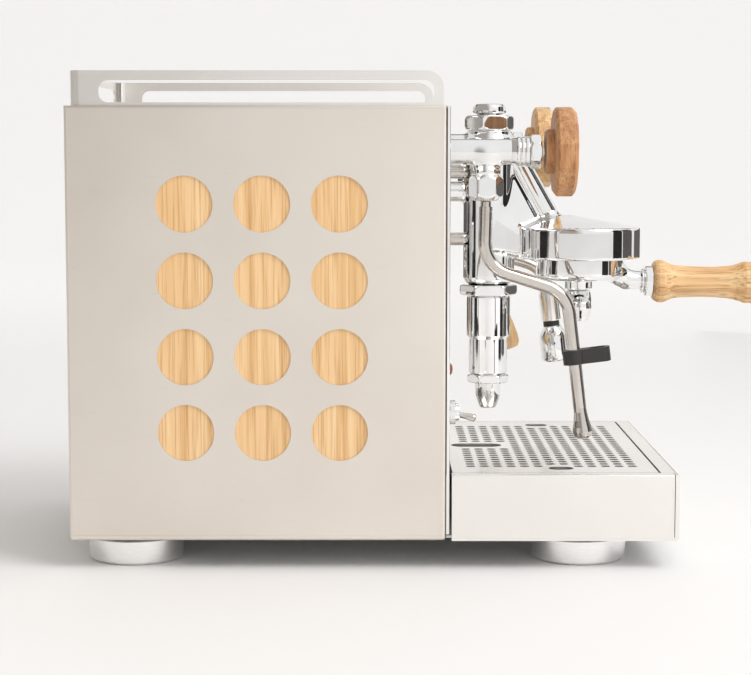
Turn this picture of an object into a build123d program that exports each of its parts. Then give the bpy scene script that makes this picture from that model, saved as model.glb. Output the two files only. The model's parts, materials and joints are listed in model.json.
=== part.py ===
from build123d import *
import math
import os

# Espresso machine with a lever-operated group, rebuilt from its bench pieces.
# Frame: millimetres, +Z up, the front looks along -Y, and Y = 0 is the front plane of the body.
# Distances named "ahead" run forward from that plane, so a point ahead by d is at Y = -d.

# Body
half_width = 137.0
body_depth = 268.0
base_z = 20.6
top_z = 328.9
rail_top_z = 353.7
sheet = 1.5
gap = 0.3
flange_width = 8.3
bend_radius = 2.0
bottom_bend_radius = 3.4
face_recess = 0.45
rim_rear = 2.4
rim_front = 3.6
rim_top = 2.6
rim_bottom = 3.8
tray_rim = 1.5
front_face_ahead = 2.5
panel_seam = 0.4

# Round openings in the side panels, with a wood board behind
opening_diameter = 40.0
opening_pitch_y = 54.5
opening_pitch_z = 54.0
opening_centre_y = 129.9
opening_centre_z = 179.3
board_thickness = 4.0

# Cup rail and cup tray
rail_half_width = 127.0
rail_front_y = 2.2
rail_rear_y = 265.6
rail_slot_low_z = 331.4
rail_slot_high_z = 346.8
rail_post = 6.7
rail_rear_post = 21.0
rail_corner = 7.0

# Drip tray
tray_gap_ahead = 4.2
tray_front_ahead = 166.3
tray_top_z = 68.4
tray_wrap = 2.9
tray_seam = 0.55
grate_half_width = 127.9
grate_front_ahead = 152.6
grate_seam = 1.5
grate_hole = 6.8
grate_pitch_x = 10.0
grate_pitch_y = 9.83
grate_columns = 13
grate_first_ahead = 19.4

# Feet
foot_top_diameter = 71.0
foot_bottom_diameter = 68.0
foot_top_z = 18.2
foot_x = 92.0
front_foot_ahead = 98.9
rear_foot_y = 226.0

# Group
column_ahead = 37.4
column_radius = 19.7
bell_ahead = 107.0
bell_radius = 47.0
bell_low_z = 214.8
bell_high_z = 239.3
lever_pivot_z = 211.0
lever_x = 62.0
lever_hang = 15.0

# Portafilter
cup_radius = 32.7
handle_start_ahead = 164.2
handle_end_ahead = 268.0
handle_z = 197.0
handle_droop = 0.9

# Steam and hot-water valves
valve_x = 90.0
valve_z = 296.8
water_valve_rise = 3.5
outlet_ahead = 30.0
ball_z = 266.0
ball_radius = 6.5
knob_start_ahead = 78.4
knob_thickness = 15.9
knob_diameter = 63.0
wand_radius = 4.8

# Controls on the front panel
switch_x = -105.0
switch_z = 109.0
toggle_droop = 13.0
lamp_z = 140.3
gauge_x = 90.0
gauge_z = 116.0
gauge_radius = 26.0

# Inside
boiler_z = 205.0
boiler_radius = 57.0
boiler_front_y = 24.0
boiler_rear_y = 174.0
tank_front_y = 194.0
tank_rear_y = 252.0
tank_half_width = 100.0
tank_low_z = 96.0
tank_high_z = 312.0

os.makedirs("parts", exist_ok=True)


def save(builder, label):
    """Label a finished piece and write its STEP file."""
    builder.part.label = label
    export_step(builder.part, f"parts/{label}.step")


def upright(x, y, z=0.0):
    """Plane whose X is a radius and whose Y points up, for turning about a vertical axis."""
    return Plane(origin=(x, y, z), x_dir=(1, 0, 0), z_dir=(0, -1, 0))


def forward(x, ahead, z):
    """Plane whose X is a radius and whose Y points forward, for turning about a fore-and-aft axis."""
    return Plane(origin=(x, -ahead, z), x_dir=(1, 0, 0), z_dir=(0, 0, -1))


def across(x, y, z):
    """Plane whose X is a radius and whose Y points to +X, for turning about a cross axis."""
    return Plane(origin=(x, y, z), x_dir=(0, 1, 0), z_dir=(0, 0, -1))


def facing(x, ahead, z):
    """Plane that faces the front, for outlines pushed forward; its X is +X and its Y is up."""
    return Plane(origin=(x, -ahead, z), x_dir=(1, 0, 0), z_dir=(0, -1, 0))


def turn(plane, *points, mode=Mode.ADD):
    """Turn a closed outline of (radius, height) points about the plane's Y axis."""
    with BuildSketch(plane) as outline:
        with BuildLine():
            Polyline(*points, close=True)
        make_face()
    revolve(outline.sketch, axis=Axis(plane.origin, plane.y_dir), mode=mode)


def block(low, high, mode=Mode.ADD):
    """Axis-aligned block between two corners."""
    centre = [(a + b) / 2 for a, b in zip(low, high)]
    size = [b - a for a, b in zip(low, high)]
    with Locations(tuple(centre)):
        Box(*size, mode=mode)


def tube(points, bends, outer, inner=0.0):
    """Round tube along straight runs joined by tangent arcs."""
    with BuildLine() as path:
        if bends:
            FilletPolyline(*points, radius=bends)
        else:
            Polyline(*points)
    start = Plane(origin=path.line @ 0, z_dir=path.line % 0)
    with BuildSketch(start) as section:
        Circle(outer)
        if inner:
            Circle(inner, mode=Mode.SUBTRACT)
    sweep(section.sketch, path=path.line)


def hexagon(plane, corners, height, bevel=0.08, turned_by=0.0, sides=6):
    """Nut blank: a hexagon across its corners, with both ends' corners turned off."""
    radius = corners / 2
    with BuildSketch(plane) as outline:
        RegularPolygon(radius, sides, rotation=turned_by)
    extrude(outline.sketch, height)
    side = Plane(origin=plane.origin, x_dir=plane.x_dir, z_dir=plane.x_dir.cross(plane.z_dir))
    inner = radius * (1 - bevel)
    rise = radius * bevel * 0.6
    turn(
        side,
        (0, 0),
        (inner, 0),
        (radius + 0.01, rise),
        (radius + 0.01, height - rise),
        (inner, height),
        (0, height),
        mode=Mode.INTERSECT,
    )


# ---------------------------------------------------------------- casing

floor_low = base_z + sheet + gap
floor_high = floor_low + 1.8
tray_back_ahead = tray_gap_ahead + 0.8


def side_shell(side):
    """Side panel: a face just inside a rolled rim, all four edges bent in, and twelve openings."""
    face_x = side * half_width
    centre_x = side * (half_width - flange_width / 2)
    mid_z = (base_z + top_z) / 2
    with Locations((centre_x, body_depth / 2, mid_z)):
        Box(flange_width, body_depth, top_z - base_z)
    outer_edges = edges().filter_by(Plane.YZ).group_by(Axis.X)[0 if side < 0 else -1]
    low_edge = outer_edges.sort_by(Axis.Z)[0]
    fillet(low_edge, bottom_bend_radius)
    rest = edges().filter_by(Plane.YZ).group_by(Axis.X)[0 if side < 0 else -1].sort_by(Axis.Z)[1:]
    fillet(rest, bend_radius)
    inner_low = min(face_x - side * sheet, face_x - side * (flange_width + 1))
    inner_high = max(face_x - side * sheet, face_x - side * (flange_width + 1))
    block(
        (inner_low, sheet, base_z + sheet),
        (inner_high, body_depth - sheet, top_z - sheet),
        mode=Mode.SUBTRACT,
    )
    recess = sorted((face_x - side * face_recess, face_x + side))
    block(
        (recess[0], rim_front, base_z + rim_bottom),
        (recess[1], body_depth - rim_rear, top_z - rim_top),
        mode=Mode.SUBTRACT,
    )
    with BuildSketch(Plane.YZ.offset(face_x - side * 3)) as windows:
        with Locations((opening_centre_y, opening_centre_z)):
            with GridLocations(opening_pitch_y, opening_pitch_z, 3, 4):
                Circle(opening_diameter / 2)
    extrude(windows.sketch, side * 4, mode=Mode.SUBTRACT)


with BuildPart() as side_panel_left:
    side_shell(-1)
save(side_panel_left, "side_panel_left")

with BuildPart() as side_panel_right:
    side_shell(1)
save(side_panel_right, "side_panel_right")


def board(side):
    """Wood board behind the openings, held against the inside of the panel."""
    near = side * (half_width - sheet - 0.1)
    far = near - side * board_thickness
    half_y = opening_pitch_y + opening_diameter / 2 + 12
    half_z = 1.5 * opening_pitch_z + opening_diameter / 2 + 12
    block(
        (min(near, far), opening_centre_y - half_y, opening_centre_z - half_z),
        (max(near, far), opening_centre_y + half_y, opening_centre_z + half_z),
    )


with BuildPart() as wood_board_left:
    board(-1)
save(wood_board_left, "wood_board_left")

with BuildPart() as wood_board_right:
    board(1)
save(wood_board_right, "wood_board_right")

valve_spigot = 6.0
mount_spigot = 8.0
pipe_radius = 5.0
upper_pipe_z = 281.0
lower_pipe_z = 229.5
group_arm_z = 297.3
group_boss_z = 266.0
gauge_hole = gauge_radius - 2.0
switch_hole = 6.2
lamp_hole = 3.4
hole_clearance = 0.3
side_step = 4.0

with BuildPart() as front_panel:
    block(
        (-half_width + 0.3, -front_face_ahead, floor_high + 0.4),
        (half_width - 0.3, -panel_seam, top_z - 0.3),
    )
    fillet(edges().filter_by(Axis.Z).group_by(Axis.Y)[0], 0.8)
    block(
        (-rail_half_width + 1.8, -front_face_ahead, top_z - 1.8),
        (rail_half_width - 1.8, 12.0, top_z - 0.3),
    )
    for side in (-1, 1):
        cut_back = sorted((side * (half_width - side_step), side * half_width))
        block(
            (cut_back[0], -front_face_ahead, floor_high),
            (cut_back[1], 0, tray_top_z - 1.0),
            mode=Mode.SUBTRACT,
        )
    front_side = facing(0, front_face_ahead, 0)
    with BuildSketch(front_side) as panel_holes:
        with Locations((-valve_x, valve_z), (valve_x, valve_z + water_valve_rise)):
            Circle(valve_spigot + hole_clearance)
        with Locations((0, group_arm_z), (0, group_boss_z)):
            Circle(mount_spigot - 2 + hole_clearance)
        with Locations((0, upper_pipe_z), (0, lower_pipe_z)):
            Circle(pipe_radius + hole_clearance)
        with Locations((gauge_x, gauge_z)):
            Circle(gauge_hole + hole_clearance)
        with Locations((switch_x, switch_z)):
            Circle(switch_hole + hole_clearance)
        with Locations((switch_x, lamp_z)):
            Circle(lamp_hole + hole_clearance)
    extrude(panel_holes.sketch, -3 * sheet, mode=Mode.SUBTRACT)
save(front_panel, "front_panel")

inlet_x = 88.0
inlet_z = 62.0
inlet_width = 28.0
inlet_height = 20.0
vent_slot_length = 60.0

with BuildPart() as rear_panel:
    rear_out = body_depth - sheet - 0.1
    block(
        (-half_width + sheet + 0.6, rear_out - sheet, floor_high + 0.4),
        (half_width - sheet - 0.6, rear_out, top_z - sheet - 2.2),
    )
    with BuildSketch(Plane.XZ.offset(-rear_out)) as rear_holes:
        with Locations((-55, 240), (55, 240)):
            with GridLocations(0, 10, 1, 9):
                SlotOverall(vent_slot_length, 4.2)
        with Locations((inlet_x, inlet_z)):
            Rectangle(inlet_width + 0.6, inlet_height + 0.6)
    extrude(rear_holes.sketch, 3 * sheet, both=True, mode=Mode.SUBTRACT)
save(rear_panel, "rear_panel")

deck_low = top_z - 2 * sheet - 0.2
deck_high = top_z - sheet - 0.2
deck_opening_half = 112.0
deck_opening_front = 16.0
deck_opening_rear = 256.0

with BuildPart() as top_frame:
    block(
        (-half_width + sheet + 0.6, 1.8, deck_low - 0.2),
        (half_width - sheet - 0.6, body_depth - 2 * sheet - 0.4, deck_low - 0.2 + sheet),
    )
    block(
        (-deck_opening_half, deck_opening_front, deck_low - 5),
        (deck_opening_half, deck_opening_rear, deck_high + 5),
        mode=Mode.SUBTRACT,
    )
    fillet(edges().filter_by(Axis.Z).filter_by_position(Axis.Y, 15, 257), 8)
save(top_frame, "top_frame")

rail_base_z = deck_low - 0.2 + sheet

with BuildPart() as cup_rail:
    rail_length = rail_rear_y - rail_front_y
    with BuildSketch(Plane.XY.offset(rail_base_z)) as rail_plan:
        with Locations((0, rail_rear_y - rail_length)):
            RectangleRounded(2 * rail_half_width, 2 * rail_length, rail_corner)
            RectangleRounded(
                2 * (rail_half_width - sheet),
                2 * (rail_length - sheet),
                rail_corner - sheet,
                mode=Mode.SUBTRACT,
            )
        with Locations((0, rail_front_y - rail_length / 2 - sheet)):
            Rectangle(2 * half_width, rail_length + 2 * sheet, mode=Mode.SUBTRACT)
    extrude(amount=rail_top_z - rail_base_z)
    top_front = edges().filter_by(Axis.X).group_by(Axis.Z)[-1].group_by(Axis.Y)[0]
    fillet(top_front, 12.0)
    slot_rear_y = rail_rear_y - rail_rear_post
    slot_front_y = rail_front_y + rail_post
    slot_height = rail_slot_high_z - rail_slot_low_z
    slot_corner = 6.4
    slot_mid = ((slot_front_y + slot_rear_y) / 2, (rail_slot_low_z + rail_slot_high_z) / 2)
    with BuildSketch(Plane.YZ) as side_slots:
        with Locations(slot_mid):
            RectangleRounded(slot_rear_y - slot_front_y, slot_height, slot_corner)
    extrude(side_slots.sketch, half_width, both=True, mode=Mode.SUBTRACT)
    with BuildSketch(Plane.XZ.offset(-rail_rear_y)) as rear_slot:
        with Locations((0, slot_mid[1])):
            RectangleRounded(2 * (rail_half_width - rail_rear_post), slot_height, slot_corner)
    extrude(rear_slot.sketch, 12, both=True, mode=Mode.SUBTRACT)
save(cup_rail, "cup_rail")

cup_tray_z = top_z + 0.2
cup_tray_half = 121.0
cup_tray_front = 14.0
cup_tray_rear = 262.0

with BuildPart() as cup_tray:
    block(
        (-cup_tray_half, cup_tray_front, cup_tray_z),
        (cup_tray_half, cup_tray_rear, cup_tray_z + sheet),
    )
    fillet(edges().filter_by(Axis.Z), 6)
    skirt_low = rail_base_z + 0.1
    with BuildSketch(Plane.XY.offset(skirt_low)) as skirt:
        with Locations((0, (deck_opening_front + deck_opening_rear) / 2)):
            RectangleRounded(2 * deck_opening_half + 6, deck_opening_rear - deck_opening_front + 6, 8)
            RectangleRounded(
                2 * deck_opening_half + 3,
                deck_opening_rear - deck_opening_front + 3,
                6.5,
                mode=Mode.SUBTRACT,
            )
    extrude(skirt.sketch, cup_tray_z + 0.2 - skirt_low)
    with BuildSketch(Plane.XY.offset(cup_tray_z)) as drain_slots:
        with Locations((0, (cup_tray_front + cup_tray_rear) / 2)):
            with GridLocations(78, 16, 3, 13):
                SlotOverall(60, 5)
    extrude(drain_slots.sketch, 2 * sheet, both=True, mode=Mode.SUBTRACT)
save(cup_tray, "cup_tray")

with BuildPart() as chassis:
    block(
        (-half_width + sheet + 0.8, -(tray_front_ahead - tray_wrap), floor_low),
        (half_width - sheet - 0.8, body_depth - sheet - 0.6, floor_high),
    )
    with Locations((0, 0, floor_high)):
        with Locations(
            (-foot_x, -front_foot_ahead),
            (foot_x, -front_foot_ahead),
            (-foot_x, rear_foot_y),
            (foot_x, rear_foot_y),
        ):
            Hole(4.2)
    for side in (-1, 1):
        notch = sorted((side * (half_width - flange_width - 0.4), side * half_width))
        block((notch[0], -gap, floor_low - 1), (notch[1], sheet + gap, floor_high + 1), mode=Mode.SUBTRACT)
    for post_x in (-126.0, 126.0):
        for post_y in (8.0, 252.0):
            block((post_x - 5, post_y, floor_high), (post_x + 5, post_y + 10, deck_low - 0.3))
            block(
                (post_x - 3.5, post_y + 1.5, floor_high - 0.1),
                (post_x + 3.5, post_y + 8.5, deck_low),
                mode=Mode.SUBTRACT,
            )
save(chassis, "chassis")

with BuildPart() as tray_cheeks:
    for side in (-1, 1):
        outer = side * half_width
        inner = side * (half_width - flange_width)
        low_x = min(outer, inner)
        high_x = max(outer, inner)
        block(
            (low_x, -(tray_front_ahead - tray_wrap - tray_seam), base_z),
            (high_x, -tray_gap_ahead, tray_top_z),
        )
    fillet(edges().filter_by(Axis.Y).group_by(Axis.X)[0].group_by(Axis.Z)[-1], bend_radius)
    fillet(edges().filter_by(Axis.Y).group_by(Axis.X)[-1].group_by(Axis.Z)[-1], bend_radius)
    for side in (-1, 1):
        outer = side * (half_width - sheet)
        inner = side * (half_width - flange_width - 1)
        block(
            (min(outer, inner), -tray_front_ahead, base_z + sheet),
            (max(outer, inner), 0, tray_top_z - sheet),
            mode=Mode.SUBTRACT,
        )
        recess = sorted((side * (half_width - face_recess), side * (half_width + 1)))
        block(
            (recess[0], -(tray_front_ahead - tray_wrap - tray_seam - tray_rim), base_z + tray_rim),
            (recess[1], -(tray_gap_ahead + tray_rim), tray_top_z - tray_rim),
            mode=Mode.SUBTRACT,
        )
save(tray_cheeks, "tray_cheeks")

foot_places = [
    (-foot_x, -front_foot_ahead),
    (foot_x, -front_foot_ahead),
    (-foot_x, rear_foot_y),
    (foot_x, rear_foot_y),
]
foot_lift = 0.5

with BuildPart() as feet:
    for foot_at in foot_places:
        turn(
            upright(*foot_at),
            (0, 3.0),
            (30.0, 3.0),
            (30.0, foot_lift),
            (foot_bottom_diameter / 2 - 1.6, foot_lift),
            (foot_bottom_diameter / 2, foot_lift + 1.6),
            (foot_top_diameter / 2, foot_top_z - 0.8),
            (foot_top_diameter / 2 - 0.8, foot_top_z),
            (14.0, foot_top_z),
            (14.0, floor_low),
            (4.0, floor_low),
            (4.0, floor_high + 5.0),
            (0, floor_high + 5.0),
        )
save(feet, "feet")

with BuildPart() as foot_pads:
    for foot_at in foot_places:
        turn(upright(*foot_at), (0, 0), (29.7, 0), (29.7, 3.0), (0, 3.0))
save(foot_pads, "foot_pads")

# ---------------------------------------------------------------- drip tray

basin_low = floor_high + 6.0
basin_wall = 1.2
basin_half = grate_half_width - 1.0
grate_low = tray_top_z - 5.0
ledge_z = grate_low - 0.2
basin_ahead = grate_front_ahead - 0.4

with BuildPart() as drip_tray:
    block(
        (-half_width, -tray_front_ahead, base_z),
        (half_width, -(grate_front_ahead + grate_seam), tray_top_z),
    )
    fillet(edges().filter_by(Axis.X).group_by(Axis.Y)[0], bend_radius)
    block(
        (-half_width + sheet, -(tray_front_ahead - sheet), base_z - 1),
        (half_width - sheet, -grate_front_ahead + 1, tray_top_z - sheet),
        mode=Mode.SUBTRACT,
    )
    for side in (-1, 1):
        beside = sorted((side * (half_width + 1), side * (half_width - sheet - 0.1)))
        block(
            (beside[0], -(tray_front_ahead - tray_wrap), base_z - 1),
            (beside[1], 0, tray_top_z + 1),
            mode=Mode.SUBTRACT,
        )
        above = sorted((side * (half_width + 1), side * (half_width - flange_width - gap)))
        block(
            (above[0], -(tray_front_ahead - tray_wrap), tray_top_z - sheet - 1),
            (above[1], 0, tray_top_z + 1),
            mode=Mode.SUBTRACT,
        )
    block((-basin_half, -basin_ahead, basin_low), (basin_half, -tray_back_ahead, ledge_z))
    fillet(edges().filter_by(Axis.Z).group_by(Axis.Y)[-1], 6)
    block(
        (-basin_half + basin_wall, -basin_ahead + basin_wall, basin_low + basin_wall),
        (basin_half - basin_wall, -tray_back_ahead - basin_wall, ledge_z + 1),
        mode=Mode.SUBTRACT,
    )
    for arm_x in (-basin_half + 4, basin_half - 30):
        block(
            (arm_x, -(tray_front_ahead - sheet / 2), ledge_z - 16),
            (arm_x + 26, -basin_ahead + 0.2, ledge_z - 14.5),
        )
save(drip_tray, "drip_tray")

finger_hole_ahead = 84.4
finger_hole_x = 109.0
grate_slot_half = 9.5
grate_slot_end_ahead = 48.0
grate_rows = 21
grate_mid_ahead = (grate_front_ahead + tray_back_ahead) / 2


def grate_holes():
    """Centres of the round drain holes, leaving out the nozzle slot and the finger holes."""
    places = []
    for column in range(grate_columns):
        ahead = grate_first_ahead + column * grate_pitch_y
        for row in range(grate_rows):
            x = (row - (grate_rows - 1) / 2) * grate_pitch_x
            near_slot = abs(x) < grate_slot_half + 7 and ahead < grate_slot_end_ahead + 6
            near_finger = abs(abs(x) - finger_hole_x) < 13 and abs(ahead - finger_hole_ahead) < 13
            if not near_slot and not near_finger:
                places.append((x, -ahead))
    return places


with BuildPart() as drip_grate:
    block(
        (-grate_half_width, -grate_front_ahead, grate_low),
        (grate_half_width, -tray_back_ahead, tray_top_z),
    )
    fillet(edges().filter_by(Axis.Z), 1.5)
    block(
        (-grate_half_width + sheet, -grate_front_ahead + sheet, grate_low - 1),
        (grate_half_width - sheet, -tray_back_ahead - sheet, tray_top_z - sheet),
        mode=Mode.SUBTRACT,
    )
    with BuildSketch(Plane.XY.offset(tray_top_z)) as drains:
        with Locations(*grate_holes()):
            Circle(grate_hole / 2)
        with Locations((-finger_hole_x, -finger_hole_ahead), (finger_hole_x, -finger_hole_ahead)):
            SlotOverall(18, 13, rotation=90)
        slot_middle = -(grate_slot_end_ahead + tray_back_ahead + 4) / 2
        with Locations((0, slot_middle)):
            SlotOverall(grate_slot_end_ahead - tray_back_ahead - 4, 2 * grate_slot_half - 2, rotation=90)
    extrude(drains.sketch, -2 * sheet, mode=Mode.SUBTRACT)
save(drip_grate, "drip_grate")

# ---------------------------------------------------------------- group

column_y = -column_ahead
bell_y = -bell_ahead
mushroom_low = 313.3
mushroom_high = 324.3
cap_high = 334.0
body_top = 310.6
body_bottom = 194.6
lever_bore = 5.0
cavity_radius = 36.0
lip_radius = 33.3
lip_high = bell_low_z + 3.4
cavity_high = 234.2
gasket_low = 227.8
side_plane = Plane(origin=(0, 0, 0), x_dir=(0, -1, 0), z_dir=(-1, 0, 0))

with BuildPart() as group_body:
    turn(
        upright(0, column_y),
        (0, body_bottom),
        (13.0, body_bottom),
        (column_radius - 1.5, body_bottom + 6),
        (column_radius, body_bottom + 14),
        (column_radius, 285.0),
        (18.0, 290.0),
        (18.0, 308.6),
        (16.0, body_top),
        (15.5, body_top + 2.4),
        (0, body_top + 2.4),
    )
    turn(
        forward(0, 0, group_arm_z),
        (0, -6.0),
        (mount_spigot - 2, -6.0),
        (mount_spigot - 2, front_face_ahead),
        (13.2, front_face_ahead),
        (13.2, 56.0),
        (9.0, 61.0),
        (0, 61.0),
    )
    turn(
        forward(0, 0, group_boss_z),
        (0, -6.0),
        (mount_spigot - 2, -6.0),
        (mount_spigot - 2, front_face_ahead),
        (mount_spigot, front_face_ahead),
        (mount_spigot, 30.0),
        (0, 30.0),
    )
    with BuildSketch(side_plane) as web:
        with BuildLine():
            Polyline(
                (column_ahead, 219.0),
                (70.0, 212.6),
                (80.0, 216.0),
                (88.0, 244.0),
                (60.0, 297.0),
                (column_ahead, 303.0),
                close=True,
            )
        make_face()
    extrude(web.sketch, 11.0, both=True)
    tube([(0, -54.0, 299.0), (0, -92.0, 243.0)], None, 8.8)
    turn(
        upright(0, bell_y),
        (0, cavity_high),
        (cavity_radius, cavity_high),
        (cavity_radius, lip_high),
        (lip_radius, lip_high),
        (lip_radius, bell_low_z),
        (bell_radius - 1.0, bell_low_z),
        (bell_radius, bell_low_z + 1.0),
        (bell_radius, bell_high_z - 2.6),
        (bell_radius - 0.9, bell_high_z - 0.8),
        (bell_radius - 3.0, bell_high_z),
        (0, bell_high_z),
    )
    with BuildSketch(Plane.XY.offset(bell_high_z)) as crown_foot:
        with Locations((0, bell_y)):
            Circle(bell_radius - 3.5)
    with BuildSketch(Plane.XY.offset(bell_high_z + 8.6)) as crown_top:
        with Locations((0, -94.0)):
            Circle(10.0)
    loft([crown_foot.sketch, crown_top.sketch])
    turn(
        across(0, column_y, lever_pivot_z),
        (0, 0),
        (12.0, 0),
        (12.0, 30.0),
        (10.5, 32.0),
        (0, 32.0),
    )
    turn(
        across(0, column_y, lever_pivot_z),
        (0, 14.0),
        (lever_bore + 0.07, 14.0),
        (lever_bore + 0.07, 33.0),
        (0, 33.0),
        mode=Mode.SUBTRACT,
    )
    for pipe_z in (upper_pipe_z, lower_pipe_z):
        turn(
            forward(0, 0, pipe_z),
            (0, 0),
            (pipe_radius + 0.05, 0),
            (pipe_radius + 0.05, 26.0),
            (0, 26.0),
            mode=Mode.SUBTRACT,
        )
    turn(
        upright(0, bell_y),
        (0, 200.0),
        (lip_radius, 200.0),
        (lip_radius, lip_high + 0.1),
        (cavity_radius, lip_high + 0.1),
        (cavity_radius, cavity_high),
        (0, cavity_high),
        mode=Mode.SUBTRACT,
    )
save(group_body, "group_body")

with BuildPart() as mushroom_nut:
    hexagon(Plane.XY.offset(mushroom_low).move(Location((0, column_y, 0))), 37.3, 11.0, turned_by=30)
    turn(
        upright(0, column_y),
        (0, body_top + 2.4),
        (14.5, body_top + 2.4),
        (14.5, mushroom_low + 0.2),
        (0, mushroom_low + 0.2),
    )
    turn(
        upright(0, column_y),
        (0, mushroom_high - 0.1),
        (9.8, mushroom_high - 0.1),
        (9.8, mushroom_high + 0.8),
        (0, mushroom_high + 0.8),
    )
save(mushroom_nut, "mushroom_nut")

with BuildPart() as mushroom_cap:
    hexagon(Plane.XY.offset(mushroom_high + 0.8).move(Location((0, column_y, 0))), 24.0, 6.4, turned_by=8)
    turn(
        upright(0, column_y),
        (0, mushroom_high + 7.1),
        (9.4, mushroom_high + 7.1),
        (7.4, cap_high - 1.0),
        (4.4, cap_high),
        (0, cap_high),
    )
save(mushroom_cap, "mushroom_cap")

with BuildPart() as infusion_nut:
    hexagon(Plane.XY.offset(186.5).move(Location((0, column_y, 0))), 38.8, 7.1, turned_by=30)
    turn(
        upright(0, column_y),
        (0, 193.5),
        (13.0, 193.5),
        (13.0, body_bottom),
        (0, body_bottom),
    )
save(infusion_nut, "infusion_nut")

with BuildPart() as infusion_chamber:
    turn(
        upright(0, column_y),
        (0, 124.6),
        (13.4, 124.6),
        (14.85, 126.2),
        (14.85, 152.6),
        (15.6, 154.2),
        (16.4, 154.4),
        (16.8, 155.2),
        (16.8, 184.9),
        (16.0, 185.7),
        (15.0, 185.7),
        (15.0, 186.5),
        (0, 186.5),
    )
save(infusion_chamber, "infusion_chamber")

with BuildPart() as discharge_nozzle:
    hexagon(Plane.XY.offset(118.3).move(Location((0, column_y, 0))), 28.0, 6.3, turned_by=30)
    turn(
        upright(0, column_y),
        (0, 98.7),
        (5.6, 98.7),
        (6.5, 99.5),
        (9.7, 107.8),
        (9.75, 118.4),
        (0, 118.4),
    )
    turn(upright(0, column_y), (0, 98.0), (3.0, 98.0), (3.0, 112.0), (0, 112.0), mode=Mode.SUBTRACT)
save(discharge_nozzle, "discharge_nozzle")

with BuildPart() as group_gasket:
    turn(
        upright(0, bell_y),
        (28.6, gasket_low),
        (cavity_radius - 0.3, gasket_low),
        (cavity_radius - 0.3, cavity_high),
        (28.6, cavity_high),
    )
save(group_gasket, "group_gasket")

with BuildPart() as shower_screen:
    turn(
        upright(0, bell_y),
        (0, gasket_low + 0.4),
        (27.0, gasket_low + 0.4),
        (28.3, gasket_low + 1.6),
        (28.3, cavity_high),
        (27.3, cavity_high),
        (27.3, gasket_low + 2.0),
        (0, gasket_low + 2.0),
    )
    with BuildSketch(Plane.XY.offset(gasket_low)) as shower_holes:
        with Locations((0, bell_y)):
            for ring_radius, ring_count in ((8, 8), (15, 14), (22, 20)):
                with PolarLocations(ring_radius, ring_count):
                    Circle(1.2)
    extrude(shower_holes.sketch, 4, mode=Mode.SUBTRACT)
save(shower_screen, "shower_screen")

hang = math.radians(lever_hang)


def along_lever(distance):
    """Point on the hanging lever's centre line, measured down from its pivot."""
    return (lever_x, column_y - distance * math.sin(hang), lever_pivot_z - distance * math.cos(hang))


lever_down = Vector(0, -math.sin(hang), -math.cos(hang))
lever_plane = Plane(origin=along_lever(0), x_dir=(1, 0, 0), z_dir=Vector(1, 0, 0).cross(lever_down))

with BuildPart() as brew_lever:
    turn(
        across(0, column_y, lever_pivot_z),
        (0, 14.6),
        (lever_bore, 14.6),
        (lever_bore, 32.6),
        (8.5, 32.6),
        (8.5, 37.0),
        (6.0, 39.0),
        (6.0, lever_x - 9.0),
        (8.5, lever_x - 7.0),
        (8.5, lever_x + 5.5),
        (6.5, lever_x + 7.0),
        (0, lever_x + 7.0),
    )
    turn(lever_plane, (0, 0), (5.0, 0), (4.2, 24.0), (6.8, 24.0), (6.8, 27.0), (0, 27.0))
save(brew_lever, "brew_lever")

with BuildPart() as lever_handle:
    turn(
        lever_plane,
        (0, 27.0),
        (6.6, 27.0),
        (7.4, 30.0),
        (7.6, 40.0),
        (8.8, 50.0),
        (10.2, 60.0),
        (10.8, 68.0),
        (9.6, 73.5),
        (5.6, 76.0),
        (0, 76.0),
    )
save(lever_handle, "lever_handle")

# ---------------------------------------------------------------- portafilter

handle_tilt = math.radians(handle_droop)
handle_dir = Vector(0, -math.cos(handle_tilt), -math.sin(handle_tilt))
handle_origin = Vector(0, -handle_start_ahead, handle_z)
handle_plane = Plane(origin=handle_origin, x_dir=(1, 0, 0), z_dir=Vector(1, 0, 0).cross(handle_dir))
handle_length = (handle_end_ahead - handle_start_ahead) / math.cos(handle_tilt)
cup_inner = 30.6
rim_z = 226.0
ear_low = lip_high + 0.3

with BuildPart() as portafilter_body:
    turn(
        upright(0, bell_y),
        (7.0, 198.4),
        (22.0, 198.4),
        (29.0, 199.6),
        (32.0, 202.6),
        (cup_radius, 206.0),
        (cup_radius, rim_z),
        (cup_inner, rim_z),
        (cup_inner, 203.0),
        (7.0, 202.0),
    )
    with BuildSketch(Plane.XY.offset(ear_low)) as ears:
        with Locations((0, bell_y)):
            Circle(cavity_radius - 0.5)
            Circle(cup_radius - 0.5, mode=Mode.SUBTRACT)
            with Locations((0, 26), (0, -26)):
                Rectangle(80, 40, mode=Mode.SUBTRACT)
    extrude(ears.sketch, 5.0)
    turn(
        upright(0, bell_y),
        (4.0, 190.6),
        (9.3, 190.6),
        (9.3, 193.9),
        (11.0, 194.3),
        (11.0, 198.6),
        (4.0, 198.6),
    )
    neck_route = [
        (0, -134.5, 210.0),
        (0, -140.5, 200.5),
        (0, -147.5, handle_z + 0.2),
        (0, -158.0, handle_z),
    ]
    tube(neck_route, [6, 9], 7.6)
    turn(
        handle_plane,
        (0, -8.0),
        (8.4, -8.0),
        (10.6, -7.4),
        (11.8, -6.0),
        (11.8, 0),
        (5.0, 0),
        (5.0, 30.0),
        (0, 30.0),
    )
    turn(
        upright(0, bell_y),
        (0, 204.0),
        (cup_inner, 204.0),
        (cup_inner, rim_z + 4),
        (0, rim_z + 4),
        mode=Mode.SUBTRACT,
    )
save(portafilter_body, "portafilter_body")

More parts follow.
